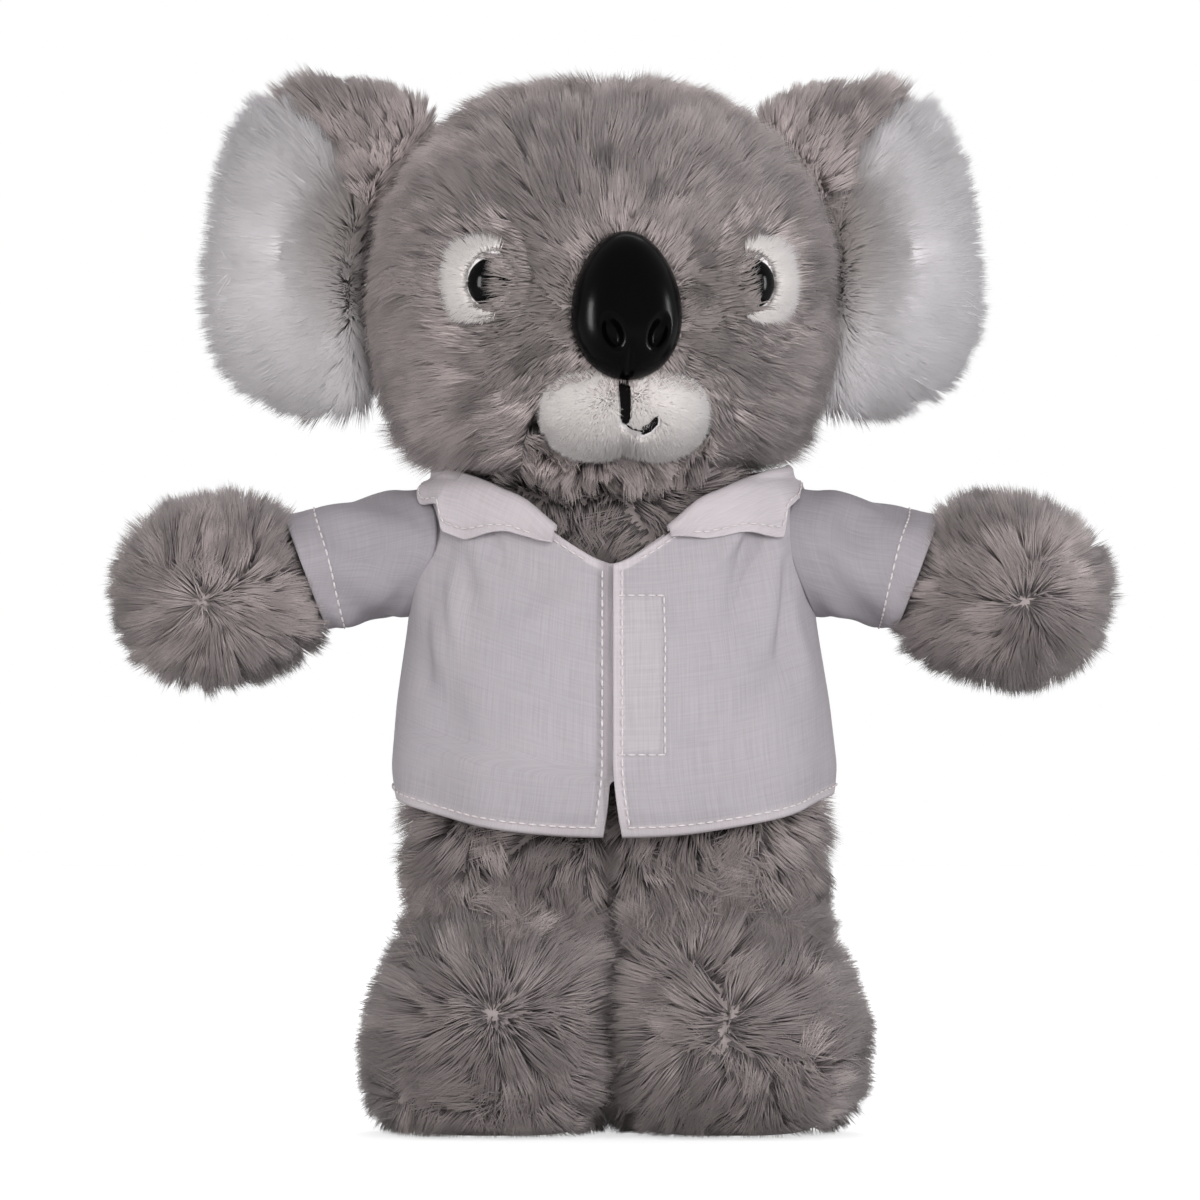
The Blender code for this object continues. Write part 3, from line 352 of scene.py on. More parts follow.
def strandMesh(name, roots, middles, tips, radii, shades, tintsAndShades, rng):
    # closed strands, each with its own cell of the OFBake map: cones of four faces, or bent spindles
    count, bent = len(roots), middles is not None
    along = unit(tips - roots)
    across = unit(np.cross(along, rng.normal(0, 1, (count, 3))))
    other = np.cross(along, across)
    ring = [
        (middles if bent else roots) + (across * math.cos(turn) + other * math.sin(turn)) * radii
        for turn in (0, 2 * math.pi / 3, 4 * math.pi / 3)
    ]
    grid = math.ceil(math.sqrt(count))
    cell = 0.92 / grid / 3
    low, middle, high = 0.04 / grid, (0.45 if bent else 0.2) / grid, 0.96 / grid
    upper = [((side, middle), (side + 1, middle), (side + 0.5, high)) for side in range(3)]
    if bent:
        points, rise = [roots, *ring, tips], [0, 0.45, 0.45, 0.45, 1.0]
        pattern = [(0, 2, 1), (0, 3, 2), (0, 1, 3), (1, 2, 4), (2, 3, 4), (3, 1, 4)]
        shape = [((side + 0.5, low), (side + 1, middle), (side, middle)) for side in range(3)] + upper
    else:
        points, rise = [*ring, tips], [0, 0, 0, 1.0]
        pattern = [(0, 2, 1), (0, 1, 3), (1, 2, 3), (2, 0, 3)]
        shape = [((0, low), (3, low), (1.5, middle * 0.9))] + upper
    size = len(points)
    points = np.stack(points, axis=1).reshape(-1, 3)
    corners = (np.array(pattern)[None] + size * np.arange(count)[:, None, None]).reshape(-1)
    mesh = bpy.data.meshes.new(name)
    mesh.vertices.add(len(points))
    mesh.vertices.foreach_set("co", points.astype(np.float32).ravel())
    mesh.loops.add(len(corners))
    mesh.loops.foreach_set("vertex_index", corners.astype(np.int32))
    mesh.polygons.add(len(corners) // 3)
    mesh.polygons.foreach_set("loop_start", np.arange(0, len(corners), 3, dtype=np.int32))
    mesh.update(calc_edges=True)
    tones = {"along": np.tile(rise, count), "shade": np.repeat(shades, size), "tintAndShade": np.repeat(tintsAndShades, size)}
    for label, values in tones.items():
        mesh.attributes.new(label, "FLOAT", "POINT").data.foreach_set("value", values.astype(np.float32))
    shape = np.array(shape).reshape(1, -1, 2) * (cell, 1)
    index = np.arange(count)
    base = np.stack([index % grid, index // grid], axis=1)[:, None, :] / grid
    mesh.uv_layers.new(name="OFBake").data.foreach_set("uv", (shape + base).astype(np.float32).ravel())
    return mesh


def patchShade(points, size):
    # slow changes of tone over the pile, about as wide as size
    return np.array([
        noise.noise(Vector(point) / size) + 0.5 * noise.noise(Vector(point) / size * 2.3)
        for point in points.tolist()
    ])


def swayOf(points, size):
    # slow turns of the pile's lie
    return np.array([noise.noise_vector(Vector(point) / size) for point in points.tolist()])


growth = {
    "swayWidth": 18 * mm, "patchWidth": 9 * mm, "rootDepth": 0.6 * mm, "clear": 0.8 * mm, "least": 2.2 * mm,
    "pull": 0.4, "bendAt": 0.45,
}


def growPile(name, body, skin, pile, comb, lengthAt, material, keep=None, blocks=None, bend=None,
             tintAndShade=None):
    # pile on a skin: strands that gather in tufts, lie as combed and stop at what blocks them
    rng = np.random.default_rng(pile["seed"])
    roots, outs = scatter(skin, pile["strands"], rng)
    tufts, tuftOuts = scatter(skin, int(pile["strands"] / pile["perTuft"]), rng)
    if keep:
        stay = keep(roots, outs)
        roots, outs = roots[stay], outs[stay]
        stay = keep(tufts, tuftOuts)
        tufts, tuftOuts = tufts[stay], tuftOuts[stay]
    sway = swayOf(tufts, growth["swayWidth"])
    tuftLie = lieOf(tuftOuts, comb(tufts), sway, pile, pile["tuftSpread"], rng)
    tuftSize = lengthAt(tufts) * rng.normal(1, pile["tuftVary"], (len(tufts), 1))
    tuftShade = 0.5 + rng.normal(0, pile["tuftShade"], len(tufts))
    tuftShade += pile["patches"] * patchShade(tufts, growth["patchWidth"])
    tree = KDTree(len(tufts))
    for k, tuft in enumerate(tufts.tolist()):
        tree.insert(tuft, k)
    tree.balance()
    own = np.array([tree.find(root)[1] for root in roots.tolist()])
    sizes = lengthAt(roots) * rng.normal(1, pile["vary"], (len(roots), 1))
    lie = lieOf(outs, comb(roots), sway[own], pile, pile["spread"], rng)
    tips = roots + lie * sizes
    drawn = tufts[own] + tuftLie[own] * tuftSize[own] + (roots - tufts[own]) * pile["open"]
    pull = (drawn - tips) * pile["clump"]
    reach = np.maximum(np.linalg.norm(pull, axis=1, keepdims=True), 1e-6)
    tips += pull * np.minimum(1, growth["pull"] * sizes / reach)
    if blocks:
        share = trimmed(roots, tips, blocks, growth["clear"], growth["least"])
        stay = share > 0
        roots, outs, own, tips = roots[stay], outs[stay], own[stay], tips[stay]
        tips = roots + (tips - roots) * share[stay][:, None]
    middles = None
    if pile["bent"]:
        reach = np.linalg.norm(tips - roots, axis=1, keepdims=True)
        middles = roots + unit(outs * 0.5 + unit(tips - roots) * 0.9) * reach * growth["bendAt"]
    radii = pile["width"] / 2 * rng.uniform(0.7, 1.25, (len(roots), 1))
    # a pile's tone moves the shade of all its strands; the negative tones of the chin, chest and legs are
    # painted shade
    shades = np.clip(tuftShade[own] + pile["tone"] + rng.normal(0, pile["strandShade"], len(roots)), 0, 1)
    if bend:
        middles, tips = bend(middles) if pile["bent"] else None, bend(tips)
    # the mask that mixes in the dark colour paints shade; on the ears it is partly a real grey tint
    tintsAndShades = tintAndShade(roots) if tintAndShade else np.zeros(len(roots))
    mesh = strandMesh(name, roots - outs * growth["rootDepth"], middles, tips, radii, shades, tintsAndShades, rng)
    newPiece(name, mesh, material, body)
    print("pile", name, len(roots), "strands", len(mesh.polygons), "faces")


def steady(size):
    return lambda points: np.full((len(points), 1), size)


# Head

def headPoint(x, y, z):
    return headFrame @ Vector((x, y, z))


nosePoint = np.array((0, -58 * mm, 43.8 * mm))


def headLength(points, jawExtra=2.0 * mm):
    p = toLocal(headFrame, points)
    fromNose = np.linalg.norm(p - nosePoint, axis=1, keepdims=True)
    size = 6.0 * mm + 6.5 * mm * smooth((fromNose - 18 * mm) / (32 * mm))
    jaw = smooth((30 * mm - p[:, 2:]) / (25 * mm)) * smooth((fromNose - 30 * mm) / (20 * mm))
    return size + jawExtra * jaw


def longJaw(points):
    # the pile hangs over the collar at the jaw
    return headLength(points, 6.0 * mm)


def headComb(points):
    p = toLocal(headFrame, points)
    front = smooth((-4 * mm - p[:, 1:2]) / (26 * mm))
    away = unit((p - nosePoint) * (1.15, 0.5, 1.0))
    level = unit(p * (1, 1, 0))
    fall = level * 0.6 + np.array((0, 0.25, -0.8))
    return turnOut(headFrame, unit(away * front + fall * (1 - front))) * 1.5


headPile = {
    "strands": 100000, "perTuft": 50, "lift": 33, "liftSpread": 7, "spread": 0.12, "tuftSpread": 0.36,
    "tuftVary": 0.12, "vary": 0.1, "open": 0.6, "clump": 0.4, "width": 0.62 * mm, "seed": 11,
    "tuftShade": 0.12, "strandShade": 0.07, "patches": 0.45, "tone": -0.05, "sway": 0.75, "bent": False,
}


def frayOf(local):
    # an uneven number from 0 to 1 for each place
    return (np.sin(local @ np.array((91.7, 37.3, 67.9))) * 437.5) % 1


crescent = {
    "outer": (3.2 * mm, 1.0 * mm), "outerHalf": (9.2 * mm, 10.6 * mm),
    "inner": (-1.6 * mm, 0.3 * mm), "innerRadius": 8.2 * mm, "depth": 9 * mm,
}
hair = {
    "frontLine": -8 * mm, "eyeDepth": 12 * mm, "domeRadius": 7.4 * mm, "outerRadius": 8.4 * mm,
    "domeGuard": (7.9 * mm, 6.0 * mm, 7.9 * mm), "lobeGuard": 1.0 * mm,
}


def inCrescent(points, sign):
    # the white part round the outer side of an eye, with pointed and slightly ragged ends
    local = toLocal(eyeFrame(sign), points)
    flat = local[:, (0, 2)] * (sign, 1) + 0.5 * mm * (frayOf(local / mm)[:, None] - 0.5)
    outer = np.linalg.norm((flat - crescent["outer"]) / crescent["outerHalf"], axis=1)
    inner = np.linalg.norm(flat - crescent["inner"], axis=1)
    return (outer < 1) & (inner > crescent["innerRadius"]) & (local[:, 1] < crescent["depth"])


def eyeRegion(points, sign):
    # places about an eye, in half widths of its white patch, outwards and up
    local = toLocal(eyeFrame(sign), points)
    half = face["patchHalf"]
    return (local[:, 0] * sign - face["patchShift"]) / half[0], local[:, 2] / half[2], local[:, 1]


def makeHead():
    low, high = headPoint(0, -2 * mm, 42 * mm), headPoint(0, -2 * mm, 58 * mm)
    mesh = wrapForm("head_skin", ("head_cover", "head_filling"), low, high,
                    lambda p: headLength(p)[:, 0] * 0.46, (96, 64))
    skin = newPiece("head_skin", mesh, greyBacking, "head")
    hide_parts("head_cover", "head_filling")
    ears = ("left_ear_front", "right_ear_front", "left_ear_back", "right_ear_back")
    guards = [(eyeFrame(sign), hair["domeGuard"]) for sign in (1, -1)]
    for sign in (1, -1):
        lobe = Matrix.Translation((sign * face["lobeSpread"], -face["muzzleSeat"], face["muzzleHeight"]))
        guards.append((headFrame @ lobe, tuple(half + hair["lobeGuard"] for half in face["lobeHalf"])))

    def clear(points):
        # the white patches keep free of grey on their outer side, and the muzzle all over
        stay = np.ones(len(points), bool)
        for sign in (1, -1):
            local = toLocal(eyeFrame(sign), points)
            off, outside = np.hypot(local[:, 0], local[:, 2]), local[:, 0] * sign > 0
            onEye = (off < hair["domeRadius"]) | outside & (off < hair["outerRadius"])
            stay &= ~(inCrescent(points, sign) | onEye & (local[:, 1] < crescent["depth"]))
        for matrix, size in guards[2:]:
            local = toLocal(matrix, points) / size
            stay &= np.hypot(local[:, 0], local[:, 2]) > 0.9
        return stay

    def noseSide(points):
        # the places between the eyes and the nose, from which hairs lie over the inner half of an eye
        near = np.zeros(len(points), bool)
        for sign in (1, -1):
            out, up, deep = eyeRegion(points, sign)
            here = (np.hypot(out, up) < 1.7) & (deep < hair["eyeDepth"])
            near |= here & (out < -0.5) & (np.abs(up) < 0.85)
        return near

    def nearHard(points):
        near = np.zeros(len(points), bool)
        for sign in (1, -1):
            out, up, deep = eyeRegion(points, sign)
            near |= (np.hypot(out, up) < 1.7) & (deep < hair["eyeDepth"])
        for matrix, size in guards[2:]:
            local = toLocal(matrix, points) / size
            near |= np.hypot(local[:, 0], local[:, 2]) < 1.55
        return near

    def onFace(points):
        return toLocal(headFrame, points)[:, 1] < hair["frontLine"]

    def inFront(points, outs):
        return onFace(points) & ~nearHard(points)

    def beside(points, outs):
        return onFace(points) & nearHard(points) & clear(points)

    def besideEye(points, outs):
        return onFace(points) & noseSide(points) & clear(points)

    def behind(points, outs):
        return ~onFace(points)

    def innerShare(points):
        share = np.zeros(len(points))
        for sign in (1, -1):
            out, up, _ = eyeRegion(points, sign)
            share += smooth((-0.35 - out) / 0.4) * smooth((1.7 - np.hypot(out, up * 0.9)) / 0.3)
        return share

    def besideLength(points):
        # longer on the nose's side of an eye, so that the hairs lie half over its dome
        return headLength(points) + 6.0 * mm * innerShare(points)[:, None]

    def besideNose(points):
        # painted shade: the face is darker between the nose and the eyes
        local = toLocal(headFrame, points)
        off = np.hypot((np.abs(local[:, 0]) - 21 * mm) / (11 * mm), (local[:, 2] - 42 * mm) / (17 * mm))
        return 0.8 * (1 - smooth((off - 0.5) / 0.9)) * (local[:, 1] < 0)

    def shadeByEye(points):
        # painted shade beside the nose, and a painted shadow over the inner half of each eye
        return np.minimum(0.9, besideNose(points) + 0.3 * innerShare(points))

    def overHard(points):
        # hairs that reach an eye lie over its inner half, and those that reach the muzzle go round it
        for sign, (matrix, size) in zip((1, -1), guards[:2]):
            local = toLocal(matrix, points) / size
            flat = np.hypot(local[:, 0], local[:, 2])
            ragged = (0.0 if sign > 0 else 0.22) * (1 - local[:, 2] ** 2) - 0.04 - 0.16 * frayOf(local)
            out = np.where(flat < 1.2, np.minimum(local[:, 0] * sign, ragged), local[:, 0] * sign)
            local[:, 0] = out * sign
            front = -np.sqrt(np.maximum(0, 1 - local[:, 0] ** 2 - local[:, 2] ** 2))
            local[:, 1] = np.where(front < 0, np.minimum(local[:, 1], front), local[:, 1])
            points = turnOut(matrix, local * size) + np.array(matrix.translation)
        for matrix, size in guards[2:]:
            local = toLocal(matrix, points) / size
            near = np.linalg.norm(local, axis=1, keepdims=True)
            around = local / np.maximum(near, 0.05)
            front = -np.sqrt(np.maximum(0, 1 - local[:, 0] ** 2 - local[:, 2] ** 2))
            over = np.stack([local[:, 0], front, local[:, 2]], axis=-1)
            around = np.where(local[:, 2:] > 0.35, over, around)
            local = np.where(near < 1, around, local) * size
            points = turnOut(matrix, local) + np.array(matrix.translation)
        return points

    blocks = cadSurface("nose", "muzzle", "collar", *ears)
    front = dict(headPile, strands=150000, perTuft=75, width=0.56 * mm)
    growPile("head_face_pile", "head", mesh, front, headComb, longJaw, greyPile, inFront,
             blocks, None, besideNose)
    other = dict(headPile, strands=68000, seed=12)
    growPile("head_back_pile", "head", mesh, other, headComb, longJaw, greyPile, behind, blocks)
    bent = dict(headPile, bent=True, width=0.46 * mm, lift=26, tuftSpread=0.25, seed=14)
    growPile("head_bent_pile", "head", mesh, bent, headComb, headLength, greyPile, beside,
             cadSurface("nose", "collar", "left_eye", "right_eye"), overHard, besideNose)
    bent = dict(bent, strands=130000, tuftSpread=0.3, clump=0.2, seed=15)
    growPile("head_eye_pile", "head", mesh, bent, headComb, besideLength, greyPile, besideEye,
             cadSurface("nose"), overHard, shadeByEye)

    def underChin(points, outs):
        local = toLocal(headFrame, points)
        return (local[:, 1] < -16 * mm) & (local[:, 2] < 13 * mm) & (np.abs(local[:, 0]) < 25 * mm)

    def hangs(points):
        local = toLocal(headFrame, points)
        return turnOut(headFrame, local * (8, 0, 0) + (0, -1.4, -1.0))

    # the chin's pile is made darker: painted shade under the head
    chin = dict(headPile, strands=150000, bent=True, lift=44, tuftSpread=0.3, clump=0.6, tone=-0.3, seed=13)
    growPile("chin_pile", "head", mesh, chin, hangs, steady(18 * mm), greyPile, underChin,
             cadSurface("collar", "muzzle", "shirt_front_left", "shirt_front_right"))


# Nose, eyes and muzzle

noseFrame = headFrame @ Matrix.Translation((0, -face["noseSeat"], face["noseHeight"]))
noseFrame = noseFrame @ Matrix.Rotation(-face["noseTilt"], 4, "X")


def eyeFrame(sign):
    place = Matrix.Translation((sign * face["eyeSpread"], -face["eyeSeat"], face["eyeHeight"]))
    return headFrame @ place @ Matrix.Rotation(sign * face["eyeTurn"], 4, "Z")


def glossMaterial(name, colour, roughness):
    # a black moulding, with a faint unevenness in its gloss
    made, tree, shader = newMaterial(name, roughness, Specular_IOR_Level=0.04, IOR=1.46)
    shader.inputs["Base Color"].default_value = (*colour, 1)
    place = objectPlace(tree)
    cloud = noiseAt(tree, place, 160.0, 4.0)
    rough = addNode(tree, "ShaderNodeMapRange", {0: cloud, 3: roughness * 0.8, 4: roughness * 1.35})
    tree.links.new(rough.outputs[0], shader.inputs["Roughness"])
    addBump(tree, shader, noiseAt(tree, place, 2600.0, 2.0), 0.12, 0.1 * mm)
    return made


noseBlack = glossMaterial("noseBlack", (0.001, 0.001, 0.0012), 0.2)
eyeBlack = glossMaterial("eyeBlack", (0.0015, 0.0015, 0.0018), 0.12)


def bridgeLoops(bm, loops):
    # faces from each loop of vertices to the next, and one at both ends
    for lower, upper in zip(loops, loops[1:]):
        for k in range(len(lower)):
            after = (k + 1) % len(lower)
            bm.faces.new((lower[k], lower[after], upper[after], upper[k]))
    bm.faces.new(loops[0])
    bm.faces.new(loops[-1])


def ringMesh(name, rings, matrix):
    # a skin through rings of points, closed at both ends
    bm = bmesh.new()
    bridgeLoops(bm, [[bm.verts.new(point) for point in ring] for ring in rings])
    bmesh.ops.transform(bm, matrix=matrix, verts=bm.verts)
    bmesh.ops.recalc_face_normals(bm, faces=bm.faces)
    return meshFrom(name, bm)


noseShell = {
    "around": 112, "rings": 52, "rim": 0.14, "roundness": 2.2,
    "nostrilSpread": 6.3 * mm, "nostrilShift": 1.2 * mm, "nostrilDrop": 9.2 * mm,
    "nostrilHalf": (2.4 * mm, 4.2 * mm), "nostrilDent": 3.2 * mm, "nostrilTurn": math.radians(-22),
    "grooveHalf": 0.8 * mm, "grooveDent": 1.4 * mm,
}


def noseDent(x, z):
    # how deep the nostrils and the groove under them are pressed in
    dent = 0.0
    for sign in (1, -1):
        turn = sign * noseShell["nostrilTurn"]
        across = x - noseShell["nostrilShift"] - sign * noseShell["nostrilSpread"]
        up = z + noseShell["nostrilDrop"]
        u = (across * math.cos(turn) + up * math.sin(turn)) / noseShell["nostrilHalf"][0]
        v = (up * math.cos(turn) - across * math.sin(turn)) / noseShell["nostrilHalf"][1]
        dent += noseShell["nostrilDent"] * math.exp(-(u * u + v * v) ** 2)
    low = float(smooth((-z / face["noseHalfHeight"] - 0.5) / 0.25))
    return dent + noseShell["grooveDent"] * low * math.exp(-(x / noseShell["grooveHalf"]) ** 2)


def makeNose():
    levels = [(-0.08, 0.80), (-0.05, 0.87), (0.0, 0.93), (0.05, 0.968), (0.10, 0.992)]
    for k in range(noseShell["rings"]):
        angle = math.pi / 2 * min(0.997, k / (noseShell["rings"] - 1))
        power = 2 / noseShell["roundness"]
        depth = noseShell["rim"] + (1 - noseShell["rim"]) * math.sin(angle) ** power
        levels.append((depth, math.cos(angle) ** power))
    rings = []
    for depth, share in levels:
        ring = []
        for k in range(noseShell["around"]):
            angle = 2 * math.pi * k / noseShell["around"]
            x = face["noseHalfWidth"] * math.cos(angle) * (1 - face["noseEgg"] * math.sin(angle)) * share
            z = face["noseHalfHeight"] * math.sin(angle) * share
            ring.append((x, -depth * face["noseDepth"] + noseDent(x, z), z))
        rings.append(ring)
    nose = newPiece("nose_shell", ringMesh("nose_shell", rings, noseFrame), noseBlack, "head")
    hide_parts("nose")


def domeMesh(name, size, shift, matrix, segments=(56, 36)):
    bm = bmesh.new()
    bmesh.ops.create_uvsphere(bm, u_segments=segments[0], v_segments=segments[1], radius=1)
    bmesh.ops.scale(bm, vec=size, verts=bm.verts)
    bmesh.ops.translate(bm, vec=shift, verts=bm.verts)
    bmesh.ops.transform(bm, matrix=matrix, verts=bm.verts)
    return meshFrom(name, bm)


patchPile = dict(
    headPile, strands=14000, perTuft=12, lift=28, liftSpread=8, spread=0.25, tuftSpread=0.2, tuftVary=0.1,
    vary=0.14, clump=0.2, width=0.5 * mm, seed=31, tuftShade=0.1, strandShade=0.1, patches=0.2, tone=0,
    sway=0,
)


def makeEye(side, sign):
    matrix = eyeFrame(sign)
    radius = face["eyeRadius"] + 0.5 * mm
    mesh = domeMesh(f"{side}_eye_dome", (radius, face["eyeDome"], radius), (0, 0, 0), matrix)
    dome = newPiece(f"{side}_eye_dome", mesh, eyeBlack, "head")
    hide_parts(f"{side}_eye")
    half = face["patchHalf"]
    pad = (half[0] - 0.7 * mm, half[1] - 1.5 * mm, half[2] - 0.7 * mm)
    mesh = domeMesh(f"{side}_eye_patch_pad", pad, (sign * face["patchShift"], 0.5 * mm, 0), matrix)
    patch = newPiece(f"{side}_eye_patch_pad", mesh, whiteBacking, "head")
    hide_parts(f"{side}_eye_patch")

    def fromEye(points):
        return turnOut(matrix, toLocal(matrix, points) * (1, 0, 1) + (sign * 1 * mm, 0, 0))

    def onFront(points, outs):
        return (toLocal(matrix, points)[:, 1] < 0.2 * mm) & inCrescent(points, sign)

    def lengthAt(points):
        # longer at the outer side and over the eye
        local = toLocal(matrix, points)
        outer = smooth((local[:, :1] * sign - 3 * mm) / (6 * mm))
        return 2.8 * mm + 2.4 * mm * outer + 1.4 * mm * smooth((local[:, 2:] - 3 * mm) / (5 * mm))

    pile = dict(patchPile, seed=patchPile["seed"] + sign)
    growPile(f"{side}_eye_patch_pile", "head", mesh, pile, fromEye, lengthAt, creamPile,
             onFront, cadSurface(f"{side}_eye"))


muzzlePile = dict(
    patchPile, strands=46000, perTuft=24, lift=42, liftSpread=9, tuftSpread=0.3, width=0.46 * mm, seed=41,
    strandShade=0.08, patches=0.3, sway=0.3,
)


def muzzleFront(x, z):
    # how far in front of the neck's axis the muzzle is
    across = (abs(x) - face["lobeSpread"]) / face["lobeHalf"][0]
    up = (z - face["muzzleHeight"]) / face["lobeHalf"][2]
    return face["muzzleSeat"] + face["lobeHalf"][1] * math.sqrt(max(0.0, 1 - across ** 2 - up ** 2))


def threadTube(bm, points, radius, turns):
    # a twisted thread of two plies along a path
    around = 10
    loops = []
    for k, point in enumerate(points):
        before, after = points[max(0, k - 1)], points[min(len(points) - 1, k + 1)]
        along = (after - before).normalized()
        across = along.cross(Vector((0, 1, 0))).normalized()
        other = along.cross(across)
        share = k / (len(points) - 1)
        nearEnd = min(share, 1 - share) < 0.08
        taper = math.sqrt(max(0.04, math.sin(math.pi * (0.02 + 0.96 * share)))) if nearEnd else 1
        loop = []
        for side in range(around):
            angle = 2 * math.pi * side / around
            reach = radius * taper * (1 + 0.16 * math.cos(2 * angle - 2 * math.pi * turns * share))
            loop.append(bm.verts.new(point + (across * math.cos(angle) + other * math.sin(angle)) * reach))
        loops.append(loop)
    bridgeLoops(bm, loops)


def threadMaterial(name, colour, roughness, gloss):
    made, tree, shader = newMaterial(name, roughness, Specular_IOR_Level=gloss)
    fibre = noiseAt(tree, objectPlace(tree), 1800.0, 3.0)
    dark = tuple(0.6 * part for part in colour)
    tree.links.new(mixColour(tree, fibre, (*dark, 1), (*colour, 1)), shader.inputs["Base Color"])
    addBump(tree, shader, fibre, 0.4, 0.1 * mm)
    return made


blackThread = threadMaterial("blackThread", (0.008, 0.007, 0.007), 0.9, 0.0)
whiteThread = threadMaterial("whiteThread", (0.84, 0.78, 0.79), 0.75, 0.12)

mouth = {
    "x": -0.8 * mm, "top": 23.2 * mm, "foot": 11.2 * mm, "threads": 6, "pitch": 0.5 * mm,
    "radius": 0.46 * mm,
    # mm from the lip, and above the neck
    "smile": ((0, 11.4), (2.0, 10.0), (4.4, 9.4), (6.6, 10.4), (8.8, 12.8)),
    "proud": 2.0 * mm, "narrowing": 0.3,
}


def mouthPaths():
    paths = []
    for k in range(mouth["threads"]):
        off = (k - (mouth["threads"] - 1) / 2) * mouth["pitch"]
        high = mouth["top"] - 0.4 * mm * (k % 2)
        low = mouth["foot"] + 0.5 * mm * abs(k - 2.5) / 2.5
        steps = 26
        shares = [s / steps for s in range(steps + 1)]
        path = [(mouth["x"] + off * (1 - mouth["narrowing"] * s), high + (low - high) * s) for s in shares]
        paths.append((path, mouth["radius"], 9))
    turns = [(mouth["x"] + x * mm, z * mm) for x, z in mouth["smile"]]
    fine = []
    for k in range(41):
        at = k / 40 * (len(turns) - 1)
        stops = range(len(turns))
        fine.append(tuple(np.interp(at, stops, [turn[axis] for turn in turns]) for axis in (0, 1)))
    paths.append((fine, mouth["radius"] * 0.55, 12))
    thick = fine[20:]
    for lift in (-0.75, -0.25, 0.25, 0.75):
        paths.append(([(x, z + lift * mm) for x, z in thick], mouth["radius"], 8))
    return paths


def makeMuzzle():
    middle = headPoint(0, -face["muzzleSeat"], face["muzzleHeight"])
    mesh = wrapForm("muzzle_pad", ("muzzle",), middle, middle,
                    lambda points: np.full(len(points), 1.5 * mm), (80, 56), 80)
    pad = newPiece("muzzle_pad", mesh, whiteBacking, "head")
    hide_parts("muzzle")
    paths = mouthPaths()
    covered = np.array([point for path, _, _ in paths for point in path])

    def fromThread(local):
        return np.min(np.linalg.norm(local[:, None, (0, 2)] - covered[None], axis=2), axis=1)

    def onFront(points, outs):
        local = toLocal(headFrame, points)
        return (local[:, 1] < -face["muzzleSeat"] + 1 * mm) & (fromThread(local) > 0.7 * mm)

    def fromLip(points):
        local = toLocal(headFrame, points)
        return turnOut(headFrame, (local - (0, 0, 25 * mm)) * (1, 0, 1) / (6 * mm))

    def lengthAt(points):
        # shorter beside the thread, which draws the pile down
        gap = fromThread(toLocal(headFrame, points))
        return (2.6 * mm + 1.5 * mm * smooth(gap / (3 * mm)))[:, None]

    growPile("muzzle_pile", "head", mesh, muzzlePile, fromLip, lengthAt, creamPile, onFront,
             cadSurface("nose"))
    bm = bmesh.new()
    for path, radius, turns in paths:
        points = [headPoint(x, -muzzleFront(x, z) - mouth["proud"], z) for x, z in path]
        threadTube(bm, points, radius, turns)
    bmesh.ops.recalc_face_normals(bm, faces=bm.faces)
    thread = newPiece("mouth_thread", meshFrom("mouth_thread", bm), blackThread, "head")
    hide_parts("mouth_stitch")


makeHead()
makeNose()
for side, sign in sides.items():
    makeEye(side, sign)
makeMuzzle()
print("head done")


# Ears

ear = {
    "out": 60.5 * mm, "back": 12.0 * mm, "height": 53.5 * mm, "lean": math.radians(12),
    "centreOut": 11.5 * mm, "centreUp": 7.5 * mm, "half": (38.5 * mm, 9.0 * mm, 50.5 * mm),
    "slant": math.radians(45), "foldDistance": 10.0 * mm,
    "greyDistance": {"left": 12.0 * mm, "right": 9.0 * mm},
    "faceSink": 3.2 * mm, "rimSink": 6.8 * mm, "pileLength": 11 * mm, "rimExtra": 3 * mm,
}
earFront = dict(
    headPile, strands=60000, lift=20, liftSpread=4, spread=0.05, tuftSpread=0.1, tuftVary=0.06, vary=0.07,
    open=0.85, clump=0.3, width=0.6 * mm, seed=51, strandShade=0.06, patches=0.3, tone=0, sway=0.12,
)
earBack = dict(headPile, strands=30000, lift=30, tuftSpread=0.26, clump=0.5, sway=0.3, seed=61)


